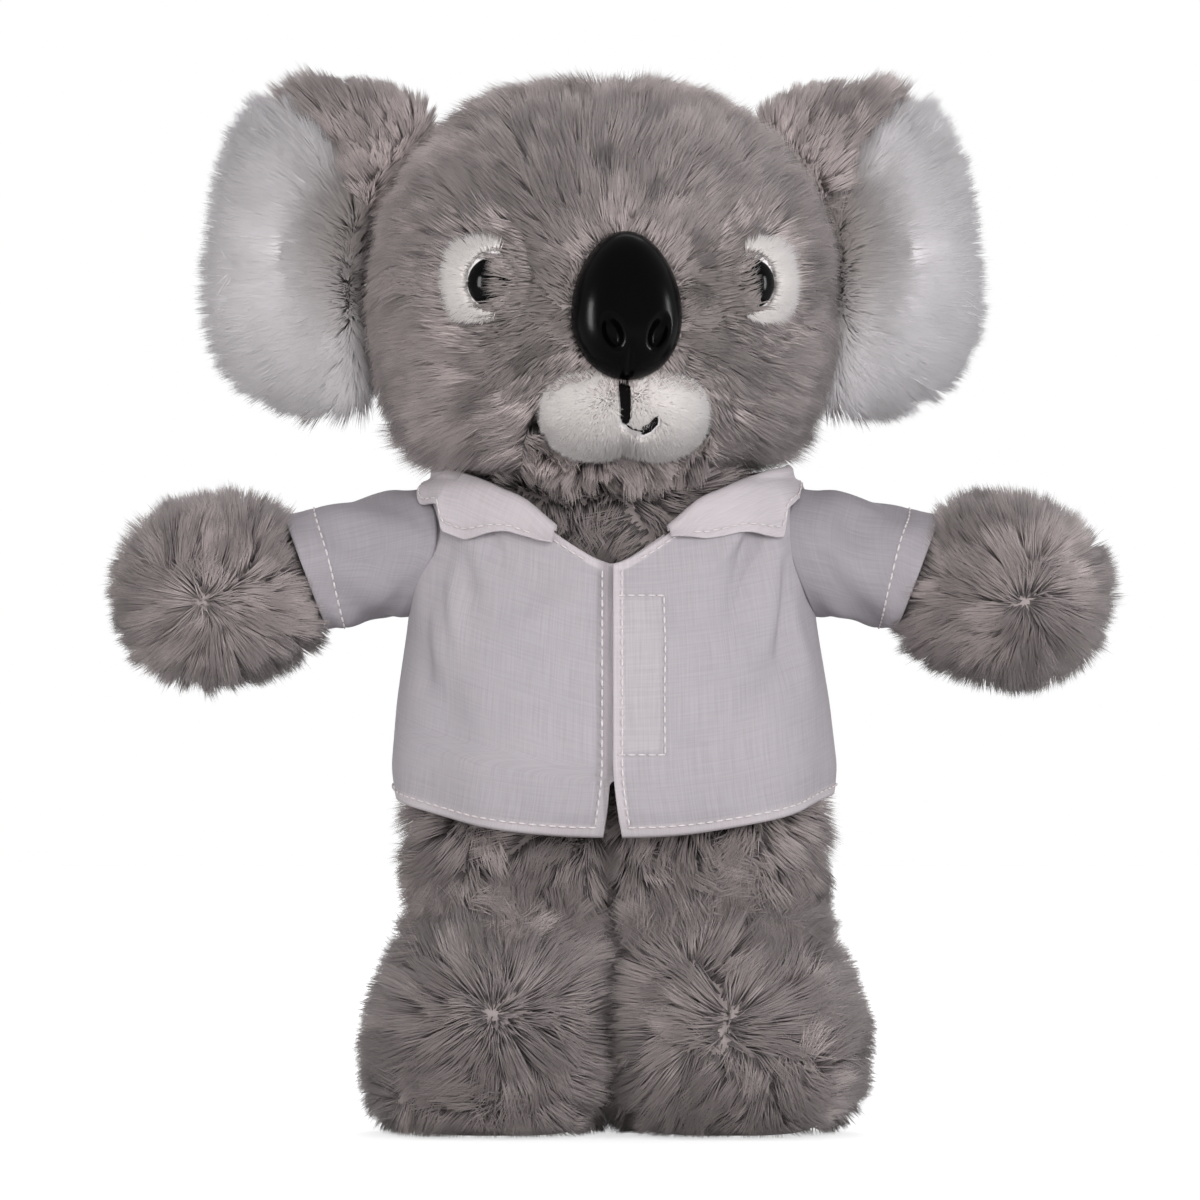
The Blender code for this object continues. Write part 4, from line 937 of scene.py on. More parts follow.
def makeEar(side, sign):
    place = Matrix.Translation((sign * ear["out"], ear["back"], ear["height"]))
    hinge = headFrame @ place @ Matrix.Rotation(-sign * ear["lean"], 4, "Y")

    def inPad(points):
        return toLocal(hinge, points) - (sign * ear["centreOut"], 0, ear["centreUp"])

    def foldSide(local):
        # distance above the edge at which the grey lobe starts
        return local[:, 2] * math.cos(ear["slant"]) - sign * local[:, 0] * math.sin(ear["slant"])

    def outShare(points):
        # nothing at the ear's centre, one at its rim
        return np.linalg.norm(inPad(points)[:, (0, 2)] / (ear["half"][0], ear["half"][2]), axis=1)

    def rimSink(points):
        out = outShare(points)
        return ear["faceSink"] + (ear["rimSink"] - ear["faceSink"]) * smooth((out - 0.55) / 0.42)

    def outward(points):
        local = inPad(points)
        flow = (local - (-sign * 34 * mm, 0, -3 * mm)) * (1, 0, 1)
        return turnOut(hinge, flow / (12 * mm))

    def frontStain(points):
        # the white pile goes grey-brown towards the head: partly its real grey, partly painted shade from the
        # head
        local = inPad(points)
        inner = np.linalg.norm((local[:, (0, 2)] - (-sign * 15 * mm, 6 * mm)) / (29 * mm, 40 * mm), axis=1)
        return 0.95 * (1 - smooth((inner - 0.4) / 0.7))

    def frontLength(points):
        return (ear["pileLength"] + ear["rimExtra"] * smooth((outShare(points) - 0.5) / 0.4))[:, None]

    def lobeLength(points):
        # shorter towards the head, where the lobe is lower
        local = inPad(points)
        inner = smooth((14 * mm - local[:, :1] * sign) / (10 * mm))
        return frontLength(points) - 6 * mm * inner * smooth((local[:, 2:] - 15 * mm) / (10 * mm))

    names = {part: f"{side}_ear_{part}" for part in ("front", "back")}
    for part, material, slot, pile in (
        ("front", whitePile, "white_plush", earFront), ("back", greyPile, "grey_plush", earBack),
    ):
        low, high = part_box(names[part])
        middle = (Vector(low) + Vector(high)) / 2
        if part == "back":
            middle = hinge @ Vector((sign * ear["centreOut"], ear["half"][1] / 2, ear["centreUp"]))
        name = names[part] + "_skin"
        mesh = wrapForm(name, (names[part],), middle, middle, rimSink, (80, 56), 2)
        backing = whiteBacking if part == "front" else greyBacking
        skin = newPiece(name, mesh, backing, f"{side}_ear")
        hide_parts(names[part])

        def shows(points, outs, part=part):
            local, turned = inPad(points), outs @ np.array(hinge)[:3, :3]
            edge = foldSide(local)
            if part == "front":
                return (local[:, 1] < -1.5 * mm) & (edge < ear["greyDistance"][side]) & (turned[:, 1] < 0.1)
            return (local[:, 1] > 0.5 * mm) & (turned[:, 1] > -0.4) | (edge > ear["foldDistance"] - 1 * mm)

        settings = dict(pile, seed=pile["seed"] + sign)
        lengthAt, tintAndShadeAt = (frontLength, frontStain) if part == "front" else (lobeLength, None)
        growPile(names[part] + "_pile", f"{side}_ear", mesh, settings, outward, lengthAt, material,
                 shows, None, None, tintAndShadeAt)


for side, sign in sides.items():
    makeEar(side, sign)
print("ears done")


# Torso, arms and legs

# the chest and seat pile is made darker: painted shade under the head and the shirt
torsoPile = dict(headPile, strands=46000, lift=34, clump=0.6, tuftSpread=0.8, sway=1.3, tone=-0.65, seed=71)
armPile = dict(
    headPile, strands=48000, lift=34, sway=1.5, tuftSpread=0.55, tone=-0.2, width=0.56 * mm, seed=81)
# the legs' pile is made darker: painted shade, as less light falls low down
legPile = dict(armPile, strands=55000, sway=1.9, tuftSpread=0.6, tone=-0.4, seed=91)
plainSink = 0.8 * mm  # how far a skin lies under the CAD's face where little pile covers it
paw = {"centre": (111.5 * mm, -12 * mm, 152.6 * mm), "length": 11.5 * mm, "swirl": (6.0 * mm, -6.0 * mm)}
foot = {
    "centre": (33 * mm, -30 * mm, 38 * mm), "turnHeight": 62 * mm, "length": 13.5 * mm,
    "sinkShare": {"left": 0.36, "right": 0.56},
}
hemHeightAbout = 97 * mm


def makeTorso():
    def chestOrSeat(points):
        chest = smooth((points[:, 2] - 145 * mm) / (10 * mm)) * smooth((6 * mm - points[:, 1]) / (10 * mm))
        seat = smooth((104 * mm - points[:, 2]) / (8 * mm))
        return np.maximum(chest, seat)

    low, high = Vector((0, 11 * mm, 95 * mm)), Vector((0, 11 * mm, 170 * mm))
    mesh = wrapForm("torso_skin", ("torso_cover",), low, high,
                    lambda points: plainSink + 5 * mm * chestOrSeat(points), (80, 64), 4)
    skin = newPiece("torso_skin", mesh, greyBacking, "torso")
    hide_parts("torso_cover", "torso_filling")

    def shows(points, outs):
        chest = (points[:, 2] > 150 * mm) & (points[:, 1] < 6 * mm) & (np.abs(points[:, 0]) < 38 * mm)
        return chest | (points[:, 2] < hemHeightAbout)

    def fall(points):
        level = (points - np.array(bodyMiddle)) * (1, 1, 0)
        return unit(level) * 0.35 + np.array((0, 0, -1))

    blocks = cadSurface("shirt_front_left", "shirt_front_right", "shirt_back", "left_leg_cover",
                        "right_leg_cover", "head_cover", "collar")
    growPile("torso_pile", "torso", mesh, torsoPile, fall, steady(14 * mm), greyPile, shows,
             blocks)


def makeArm(side, sign):
    start = jointPlace[f"{side}_arm_swing"]
    middle = Vector((sign * paw["centre"][0], start.y, paw["centre"][2]))
    along = (middle - start).normalized()

    def alongArm(points):
        return (points - np.array(start)) @ np.array(along)

    def sink(points):
        covered = smooth((alongArm(points) - 18 * mm) / (12 * mm))
        return plainSink + (paw["length"] * 0.62 - plainSink) * covered

    name = f"{side}_arm_skin"
    mesh = wrapForm(name, (f"{side}_arm_cover",), start, middle, sink, (72, 56), 3)
    skin = newPiece(name, mesh, greyBacking, f"{side}_arm")
    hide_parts(f"{side}_arm_cover", f"{side}_arm_filling")
    swirl = np.array((sign * (paw["centre"][0] + paw["swirl"][0]), paw["centre"][1] - 16 * mm,
                      paw["centre"][2] + paw["swirl"][1]))

    def radiate(points):
        return (points - swirl) / (4 * mm)

    def shows(points, outs):
        return alongArm(points) > 20 * mm

    def lengthAt(points):
        return (paw["length"] * (0.6 + 0.4 * smooth((alongArm(points) - 22 * mm) / (14 * mm))))[:, None]

    pile = dict(armPile, seed=armPile["seed"] + sign)
    growPile(f"{side}_arm_pile", f"{side}_arm", mesh, pile, radiate, lengthAt, greyPile, shows,
             cadSurface(f"{side}_sleeve"))


def makeLeg(side, sign):
    def sink(points):
        # little at the sole, and where the legs are against each other
        sole = smooth((points[:, 2] - 2 * mm) / (14 * mm))
        inner = 0.15 + 0.85 * smooth((np.abs(points[:, 0]) - 3 * mm) / (12 * mm))
        return plainSink + foot["length"] * foot["sinkShare"][side] * sole * inner

    start = Vector((sign * 30 * mm, bodyMiddle.y, 88 * mm))
    end = Vector((sign * 33 * mm, 5 * mm, 26 * mm))
    name = f"{side}_leg_skin"
    mesh = wrapForm(name, (f"{side}_leg_cover",), start, end, sink, (80, 64), 3)
    skin = newPiece(name, mesh, greyBacking, f"{side}_leg")
    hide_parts(f"{side}_leg_cover", f"{side}_leg_filling")
    swirl = np.array((sign * foot["centre"][0], foot["centre"][1], foot["centre"][2]))

    def radiate(points):
        away = (points - swirl) / (4 * mm) + (0, 0.8, 0)
        size = np.minimum(1, np.linalg.norm(away, axis=1, keepdims=True))
        high = smooth((points[:, 2:] - foot["turnHeight"] + 8 * mm) / (16 * mm))
        flow = unit(away) * (1 - high) + np.array((sign * 0.7, -0.3, -1)) * high
        return unit(flow) * np.maximum(size, high)

    def shows(points, outs):
        return (points[:, 2] < 101 * mm) & (outs[:, 2] > -0.75)

    def lengthAt(points):
        return (foot["length"] * (0.5 + 0.5 * smooth(points[:, 2] / (16 * mm))))[:, None]

    def aboveFloor(points):
        points[:, 2] = np.maximum(points[:, 2], 0.4 * mm)
        return points

    pile = dict(legPile, seed=legPile["seed"] + sign)
    other = "right" if side == "left" else "left"
    blocks = cadSurface("shirt_front_left", "shirt_front_right", "shirt_back", f"{other}_leg_cover",
                        "torso_cover")
    growPile(f"{side}_leg_pile", f"{side}_leg", mesh, pile, radiate, lengthAt, greyPile, shows,
             blocks, aboveFloor)


makeTorso()
for side, sign in sides.items():
    makeArm(side, sign)
    makeLeg(side, sign)
print("body done")


# Cloth

torso = {
    "halfWidth": 56.0 * mm, "halfDepth": 38.0 * mm, "floor": 78.0 * mm, "height": 108.5 * mm,
    "roundness": 2.3,
    "shares": (  # of the height, the half width and the half depth
        (0.00, 0.66, 0.60), (0.035, 0.83, 0.80), (0.10, 0.945, 0.94), (0.22, 1.00, 1.00),
        (0.40, 0.975, 0.985), (0.58, 0.93, 0.93), (0.74, 0.90, 0.83), (0.86, 0.88, 0.74),
        (0.94, 0.85, 0.67), (0.98, 0.80, 0.61), (1.00, 0.70, 0.52),
    ),
}
shirt = {
    "cloth": 0.8 * mm, "tape": 0.9 * mm, "gap": 0.3 * mm, "slack": 0.8 * mm, "flare": 1.8 * mm,
    "hemSide": 95.5 * mm, "hemFrontDrop": 11.5 * mm, "hemBackDrop": 4.0 * mm,
    "waveDepth": 0.9 * mm, "waves": 9, "splitHalf": 2.4 * mm, "splitHeight": 20 * mm,
    "neckLow": 159.0 * mm, "neckHigh": 183.8 * mm, "sideGap": math.radians(0.15), "shoulder": 163.0 * mm,
    "neckShares": (  # turn from the front's middle to the back's, height between low and high
        (0.0, 0.0), (0.076, 0.37), (0.131, 0.63), (0.222, 0.80), (0.333, 0.93), (0.500, 1.0), (0.620, 0.95),
        (0.740, 0.90), (1.000, 0.895),
    ),
    "hemBand": 3.2 * mm, "edgeBand": 3.0 * mm, "neckBand": 2.4 * mm, "bandLift": 0.22 * mm,
    "tapeWidth": 12.6 * mm, "tapeLength": 43.0 * mm, "tapeBottom": 107.5 * mm, "tapeEdge": 1.2 * mm,
    "underlapBottom": 98.5 * mm, "underlapRamp": 7.0 * mm, "underlapStep": 5.0 * mm, "underlapLead": 1.2 * mm,
    "armholeRadius": 16.5 * mm, "armholeDrop": 2.0 * mm, "armholeIn": -17 * mm,
    "hemStitch": 2.6 * mm, "edgeStitch": 2.4 * mm, "neckStitch": 1.9 * mm,
    "stitchDent": 0.18 * mm, "stitchHalf": 0.5 * mm, "drawn": 0.7 * mm, "foldGain": 2.8,
}
shirt["hookInset"] = shirt["cloth"] + shirt["gap"] + shirt["tape"] / 2
shirt["loopInset"] = shirt["hookInset"] + shirt["tape"] + shirt["gap"]
shirt["underlapInset"] = shirt["loopInset"] + shirt["tape"] / 2 + shirt["gap"]
shirt["ease"] = shirt["underlapInset"] + shirt["cloth"] + shirt["slack"]
frontMiddle = -math.pi / 2


def tableAt(table, share, column, blur):
    # a table of shares, rounded off between its rows
    rows = np.array(table)
    steps = (-blur, -blur / 2, 0, blur / 2, blur) if blur else (0,)
    return np.mean([np.interp(share + step, rows[:, 0], rows[:, column]) for step in steps], axis=0)


def powered(value, power):
    return np.sign(value) * np.abs(value) ** power


def torsoSize(height):
    share = np.maximum((height - torso["floor"]) / torso["height"], 0)
    width = tableAt(torso["shares"], share, 1, 0.03)
    depth = tableAt(torso["shares"], share, 2, 0.03)
    return torso["halfWidth"] * width, torso["halfDepth"] * depth


def lowness(height):
    return np.maximum(0, 1 - (height - shirt["hemSide"]) / (shirt["shoulder"] - shirt["hemSide"]))


def shirtPoints(angle, height, inset=0.0):
    # the shirt's outer face; the angle runs round the body from +X, the front at -90 degrees
    width, depth = torsoSize(height)
    low = lowness(height)
    ease = shirt["ease"] + shirt["flare"] * low - inset
    ease = ease + shirt["waveDepth"] * low * low * np.cos(shirt["waves"] * angle)
    x = (width + ease) * powered(np.cos(angle), 2 / torso["roundness"])
    y = (depth + ease) * powered(np.sin(angle), 2 / torso["roundness"])
    return np.stack(np.broadcast_arrays(x, y + bodyMiddle.y, height), axis=-1)


def angleAt(x, height):
    width = torsoSize(height)[0] + shirt["ease"]
    return -np.arccos(np.clip(powered(x / width, torso["roundness"] / 2), -1, 1))


def hemHeight(angle):
    turn = np.sin(angle)
    drop = np.where(turn < 0, shirt["hemFrontDrop"], shirt["hemBackDrop"])
    return shirt["hemSide"] - drop * np.abs(turn) ** 1.5


def necklineHeight(angle):
    turn = np.abs((angle + math.pi / 2 + math.pi) % (2 * math.pi) - math.pi) / math.pi
    share = tableAt(shirt["neckShares"], turn, 1, 0.02)
    return shirt["neckLow"] + (shirt["neckHigh"] - shirt["neckLow"]) * share


def frontEdge(height):
    low = shirt["hemSide"] - shirt["hemFrontDrop"]
    return shirt["gap"] + shirt["splitHalf"] * np.maximum(0, 1 - (height - low) / shirt["splitHeight"]) ** 1.5


def frontStart(sign, height):
    start = sign * frontEdge(height)
    if sign < 0:
        reach = shirt["tapeEdge"] + shirt["tapeWidth"] + shirt["underlapRamp"] / 4 - start
        start = start + reach * smooth((height - shirt["underlapBottom"]) / shirt["underlapRamp"])
    return start


def frontInset(sign, x):
    if sign > 0:
        return 0.0
    ramp = (x + shirt["underlapStep"]) / (shirt["underlapStep"] - shirt["underlapLead"])
    return shirt["underlapInset"] * smooth(ramp)


# Soft folds of the fronts: start and end in mm across and up, half width in mm, height in mm
frontFolds = (
    ((41, 174), (33, 143), 3.2, -1.0),
    ((46, 172), (43, 134), 3.6, 0.8),
    ((28, 168), (20, 150), 4.5, 0.5),
    ((53, 148), (38, 112), 5.0, -0.6),
    ((-48, 170), (-38, 148), 3.4, -0.8),
    ((-53, 160), (-47, 122), 4.0, 0.7),
    ((-30, 168), (-15, 146), 4.5, -0.5),
    ((-56, 140), (-40, 108), 5.0, -0.6),
    ((-20, 120), (-24, 92), 7.0, 0.5),
    ((22, 118), (26, 92), 7.0, -0.5),
    ((47, 160), (49, 128), 2.2, -0.7),
    ((50, 150), (56, 118), 2.6, 0.6),
    ((36, 170), (27, 158), 2.4, 0.6),
    ((-44, 164), (-43, 136), 2.2, 0.7),
    ((-50, 152), (-53, 124), 2.4, -0.6),
    ((-36, 172), (-30, 156), 2.4, -0.6),
    ((-12, 150), (-30, 138), 5.0, 0.4),
    ((10, 140), (40, 128), 6.0, 0.4),
)


def foldRise(points):
    rise = np.zeros(points.shape[:-1])
    flat = points[..., (0, 2)] / mm
    for start, end, half, height in frontFolds:
        start, way = np.array(start), np.array(end) - np.array(start)
        share = np.clip(((flat - start) @ way) / (way @ way), 0, 1)
        off = np.linalg.norm(flat - start - share[..., None] * way, axis=-1)
        across = np.exp(-(off / half) ** 2)
        rise += shirt["foldGain"] * height * mm * across * np.sin(math.pi * (0.15 + 0.8 * share))
    return rise


def clothMesh(name, points, doubled, thickness, closed=False, cut=None):
    # a solid sheet through a grid of points, with its cloth map in metres
    rows, columns = points.shape[:2]
    across = np.linalg.norm(np.diff(points, axis=1), axis=2).cumsum(axis=1)
    across = np.concatenate([np.zeros((rows, 1)), across], axis=1)
    up = np.linalg.norm(np.diff(points, axis=0), axis=2).cumsum(axis=0)
    up = np.concatenate([np.zeros((1, columns)), up], axis=0)
    place = np.stack([across, up], axis=-1).reshape(-1, 2)
    flat = points.reshape(-1, 3)
    faces = []
    wide = columns if closed else columns - 1
    for i in range(rows - 1):
        for k in range(wide):
            after = (k + 1) % columns
            low, high = i * columns, (i + 1) * columns
            faces.append((low + k, low + after, high + after, high + k))
    if cut is not None:
        gone = cut(flat)
        faces = [face for face in faces if not all(gone[corner] for corner in face)]
    used = np.unique(np.array(faces))
    renumber = np.full(len(flat), -1)
    renumber[used] = np.arange(len(used))
    mesh = bpy.data.meshes.new(name + "_sheet")
    mesh.from_pydata(flat[used].tolist(), [], [[int(renumber[corner]) for corner in face] for face in faces])
    corners = np.array(faces)
    layer = place[corners].copy()
    if closed:  # the last column's faces run on past the seam
        seam = corners[:, 1] % columns == 0
        layer[seam, 1, 0] = layer[seam, 0, 0] + (layer[seam, 0, 0] - place[corners[seam, 0] - 1][:, 0])
        layer[seam, 2, 0] = layer[seam, 1, 0]
    mesh.uv_layers.new(name="cloth").data.foreach_set("uv", layer.astype(np.float32).ravel())
    values = doubled.reshape(-1)[used].astype(np.float32)
    mesh.attributes.new("doubled", "FLOAT", "POINT").data.foreach_set("value", values)
    holder = bpy.data.objects.new(name + "_sheet", mesh)
    bpy.context.scene.collection.objects.link(holder)
    wall = holder.modifiers.new("thickness", "SOLIDIFY")
    wall.thickness = thickness
    wall.offset = 0
    wall.use_even_offset = True
    graph = bpy.context.evaluated_depsgraph_get()
    made = bpy.data.meshes.new_from_object(holder.evaluated_get(graph))
    made.name = name
    bpy.data.objects.remove(holder)
    bpy.data.meshes.remove(mesh)
    return made


def clothTone():
    # plain weave with slubs both ways; where the cloth is doubled less of the dark toy shows through
    group, given, result = newGroup(
        "clothTone",
        [("Single", "Color", (0.5, 0.5, 0.5, 1)), ("Double", "Color", (0.7, 0.7, 0.7, 1))],
        [("Color", "Color"), ("Height", "Float")],
    )
    place = addNode(group, "ShaderNodeUVMap", uv_map="cloth").outputs[0]
    doubled = attributeOf(group, "doubled")
    streaks = []
    for scale in ((2200.0, 70.0, 1.0), (60.0, 1700.0, 1.0)):
        spread = addNode(group, "ShaderNodeVectorMath", {0: place, 1: scale}, operation="MULTIPLY")
        streaks.append(noiseAt(group, spread.outputs[0], 1.0, 2.0))
    warp, weft = mathNode(group, "MULTIPLY", streaks[0], 0.6), mathNode(group, "MULTIPLY", streaks[1], 0.4)
    both = mathNode(group, "ADD", warp, weft)
    cloud = mathNode(group, "MULTIPLY", noiseAt(group, place, 28.0, 3.0), 0.3)
    share = mathNode(group, "ADD", cloud, doubled)
    share = mathNode(group, "MINIMUM", mathNode(group, "SUBTRACT", share, 0.1), 1.0)
    share = mathNode(group, "MAXIMUM", share, 0.0)
    tone = mixColour(group, share, given["Single"], given["Double"])
    gain = addNode(group, "ShaderNodeMapRange", {0: both, 1: 0.3, 2: 0.7, 3: 0.88, 4: 1.1})
    toned = addNode(group, "ShaderNodeVectorMath", {0: tone, "Scale": gain.outputs[0]}, operation="SCALE")
    group.links.new(toned.outputs[0], result["Color"])
    group.links.new(both, result["Height"])
    return group


clothWeave = clothTone()


def clothMaterial(name, single, double):
    made, tree, shader = newMaterial(name, 0.85, Specular_IOR_Level=0.2)
    tone = useGroup(tree, clothWeave, Single=(*single, 1), Double=(*double, 1))
    tree.links.new(tone.outputs["Color"], shader.inputs["Base Color"])
    addBump(tree, shader, tone.outputs["Height"], 0.35, 0.2 * mm)
    return made


cotton = clothMaterial("cotton", (0.40, 0.374, 0.40), (0.54, 0.496, 0.52))
# the sleeves' cloth is a darker copy of the cotton: painted shade, as the sleeves are lit less
shadedSleeveCotton = clothMaterial("shadedSleeveCotton", (0.32, 0.30, 0.325), (0.35, 0.325, 0.35))
nylon = clothMaterial("nylon", (0.66, 0.66, 0.68), (0.74, 0.74, 0.74))


def outwardOf(points):
    return unit((points - np.array(bodyMiddle)) * (1, 1, 0))


def armholeCut(points):
    gone = np.zeros(len(points), bool)
    for side, sign in sides.items():
        local = toLocal(shoulderFrame(side, sign), points)
        off = np.hypot(local[:, 1], local[:, 2] + shirt["armholeDrop"])
        gone |= (off < shirt["armholeRadius"]) & (local[:, 0] > shirt["armholeIn"])
    return gone


def shoulderFrame(side, sign):
    turn = Matrix.Identity(4) if sign > 0 else Matrix.Rotation(math.pi, 4, "Z")
    place = Matrix.Translation(jointPlace[f"{side}_arm_swing"])
    return place @ turn @ Matrix.Rotation(sleeve["slope"], 4, "Y")


sleeve = {
    "slope": math.radians(11.7), "radius": 16.8 * mm, "rootRadius": 18.2 * mm, "topShare": 0.90,
    "flare": ((0, 1), (0.25, 0.55), (0.55, 0.15), (0.8, 0), (1, 0)), "cuff": 26.5 * mm,
    "cuffTilt": math.radians(9), "shoulderOut": 60.0 * mm, "band": 5.4 * mm, "tuck": 1.0 * mm,
    "length": 26 * mm, "cuffStitch": 5.2 * mm, "stitchHalf": 0.6 * mm,
}


def band(distance, width):
    # one inside a hem's band, none past its stitch line
    return 1 - smooth((distance - width * 0.9) / (width * 0.2))


def groove(distance, width):
    return np.exp(-(distance / width) ** 2)


def overThigh(piece):
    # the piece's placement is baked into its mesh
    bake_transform(piece)


def overArm(piece):
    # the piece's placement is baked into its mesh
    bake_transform(piece)


def lineAt(distance, half=shirt["stitchHalf"]):
    # how far a line of stitches draws the cloth in, at a distance from it
    return shirt["stitchDent"] * groove(distance, half)


def frontGrid(sign, rows=110, columns=96):
    up = np.linspace(0, 1, rows)[:, None]
    share = np.linspace(0, 1, columns)[None, :] ** 1.25
    seam = frontMiddle + sign * (math.pi / 2 - shirt["sideGap"])
    height = np.full((rows, columns), hemHeight(np.array(frontMiddle)))
    for _ in range(4):
        edge = angleAt(frontStart(sign, height), height)
        angle = edge + share * (seam - edge)
        low, high = hemHeight(angle), necklineHeight(angle)
        height = low + up * (high - low)
    return angle, height


def bandsOf(sign, x, angle, height):
    # where the cloth of a front is doubled, and how far its stitch lines draw it in
    hem, neck = height - hemHeight(angle), necklineHeight(angle) - height
    edge = sign * x - frontEdge(height)
    doubled = np.maximum(band(hem, shirt["hemBand"]), band(neck, shirt["neckBand"]))
    doubled = np.maximum(doubled, band(np.abs(edge), shirt["edgeBand"]))
    lines = lineAt(hem - shirt["hemStitch"]) + lineAt(neck - shirt["neckStitch"])
    lines = lines + lineAt(edge - shirt["edgeStitch"])
    if sign > 0:
        low, high = shirt["tapeBottom"], shirt["tapeBottom"] + shirt["tapeLength"]
        inside = smooth((x - 1 * mm) / mm) * smooth((shirt["tapeEdge"] + shirt["tapeWidth"] - x) / mm)
        inside = inside * smooth((height - low) / mm) * smooth((high - height) / mm)
        doubled = np.maximum(doubled, 0.3 * inside)
    return doubled, lines


def makeFront(side, sign):
    angle, height = frontGrid(sign)
    x = shirtPoints(angle, height)[..., 0]
    doubled, lines = bandsOf(sign, x, angle, height)
    points = shirtPoints(angle, height, shirt["cloth"] / 2 + frontInset(sign, x))
    outer = 1 - (frontInset(sign, x) > 0.2 * mm if sign < 0 else 0)
    seam = frontMiddle + sign * math.pi / 2
    folds = foldRise(points) * smooth(np.abs(angle - seam) / 0.3)
    rise = (folds + shirt["bandLift"] * doubled - lines) * outer
    points = points + outwardOf(points) * rise[..., None]
    name = f"shirt_front_{side}_cloth"
    mesh = clothMesh(name, points, doubled, shirt["drawn"], cut=armholeCut)
    piece = newPiece(name, mesh, cotton, None)
    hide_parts(f"shirt_front_{side}")
    overThigh(piece)


def makeBack():
    angle = np.linspace(shirt["sideGap"], math.pi - shirt["sideGap"], 100)[None, :]
    up = np.linspace(0, 1, 84)[:, None]
    low, high = hemHeight(angle), necklineHeight(angle)
    height = low + up * (high - low)
    angle = np.broadcast_to(angle, height.shape)
    hem = height - low
    doubled = band(hem, shirt["hemBand"])
    points = shirtPoints(angle, height, shirt["cloth"] / 2)
    wave = 0.7 * mm * np.sin(5 * angle + 1.2) * smooth(1 - up) + 0.5 * mm * np.sin(9 * angle + 6 * up)
    wave = wave * smooth(np.minimum(angle, math.pi - angle) / 0.3)
    rise = wave * smooth(up * 8) * smooth((1 - up) * 6)
    rise = rise + shirt["bandLift"] * doubled - lineAt(hem - shirt["hemStitch"])
    points = points + outwardOf(points) * rise[..., None]
    name = "shirt_back_cloth"
    mesh = clothMesh(name, points, doubled, shirt["drawn"], cut=armholeCut)
    piece = newPiece(name, mesh, cotton, "torso")
    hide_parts("shirt_back")


def makeTape(name, inset):
    height = np.linspace(shirt["tapeBottom"], shirt["tapeBottom"] + shirt["tapeLength"], 60)[:, None]
    x = np.linspace(shirt["tapeEdge"], shirt["tapeEdge"] + shirt["tapeWidth"], 24)[None, :]
    height, x = np.broadcast_arrays(height, x)
    points = shirtPoints(angleAt(x, height), height, inset)
    mesh = clothMesh(name + "_strip", points, np.zeros(x.shape), shirt["cloth"])
    piece = newPiece(name + "_strip", mesh, nylon, "torso")
    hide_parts(name)


def sleeveRoot(y, z):
    # how far along the arm the sleeve meets the shirt
    along = np.zeros(np.shape(y))
    slope = math.sin(sleeve["slope"]), math.cos(sleeve["slope"])
    for _ in range(6):
        height = shirt["shoulder"] + z * slope[1] - along * slope[0]
        width, depth = torsoSize(height)
        low = lowness(height)
        ease = shirt["ease"] + shirt["flare"] * low + shirt["waveDepth"] * low * low + 2 * shirt["gap"]
        share = np.minimum(1.0, np.abs(y) / (depth + ease))
        out = (width + ease) * (1 - share ** torso["roundness"]) ** (1 / torso["roundness"])
        along = (out - sleeve["shoulderOut"] - z * slope[0]) / slope[1]
    return along


def sleevePoints(share, angle, grow=0.0):
    # a sleeve's middle face in its shoulder's frame; the share runs from the seam to the cuff
    flare = np.interp(share, *zip(*sleeve["flare"]))
    radius = sleeve["radius"] + (sleeve["rootRadius"] - sleeve["radius"]) * flare - shirt["cloth"] / 2
    wave = np.sin(3 * angle + 6 * share + 0.6) * 0.8 + np.sin(5 * angle - 9 * share + 2) * 0.7
    radius = radius + grow + wave * mm * smooth(share * 3) * smooth((1 - share) * 5)
    y, z = radius * np.cos(angle), radius * np.sin(angle)
    z = np.where(z > 0, z * (1 - (1 - sleeve["topShare"]) * flare), z)
    start = sleeveRoot(y, z) - sleeve["tuck"]
    end = sleeve["cuff"] + z * math.tan(sleeve["cuffTilt"])
    return np.stack([start + share * (end - start), y, z], axis=-1)


def makeSleeve(side, sign):
    share = np.linspace(0, 1, 56)[:, None]
    angle = np.linspace(0, 2 * math.pi, 112, endpoint=False)[None, :]
    share, angle = np.broadcast_arrays(share, angle)
    toCuff = (1 - share) * sleeve["length"]
    doubled = band(toCuff, sleeve["band"])
    drawnIn = lineAt(toCuff - sleeve["cuffStitch"], sleeve["stitchHalf"])
    points = sleevePoints(share, angle, shirt["bandLift"] * doubled - drawnIn)
    shoulder = shoulderFrame(side, sign)
    world = turnOut(shoulder, points.reshape(-1, 3)) + np.array(shoulder.translation)
    name = f"{side}_sleeve_cloth"
    mesh = clothMesh(name, world.reshape(points.shape), doubled, shirt["drawn"], closed=True)
    piece = newPiece(name, mesh, shadedSleeveCotton, None)
    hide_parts(f"{side}_sleeve")
    overArm(piece)


collar = {
    "stand": 3.2 * mm, "fall": 10.6 * mm, "space": 1.1 * mm,
    "shares": (  # turn, stand, fall
        (0.076, 0.55, 0.36), (0.131, 0.90, 0.95), (0.190, 1.00, 1.25), (0.245, 1.00, 1.50),
        (0.300, 1.00, 1.58), (0.322, 1.00, 0.93), (0.392, 1.00, 0.86), (0.445, 1.00, 0.55),
        (0.500, 1.00, 0.48), (0.555, 1.00, 0.55), (0.610, 1.00, 0.84), (0.680, 1.00, 0.90),
        (1.000, 1.00, 0.90),
    ),
}


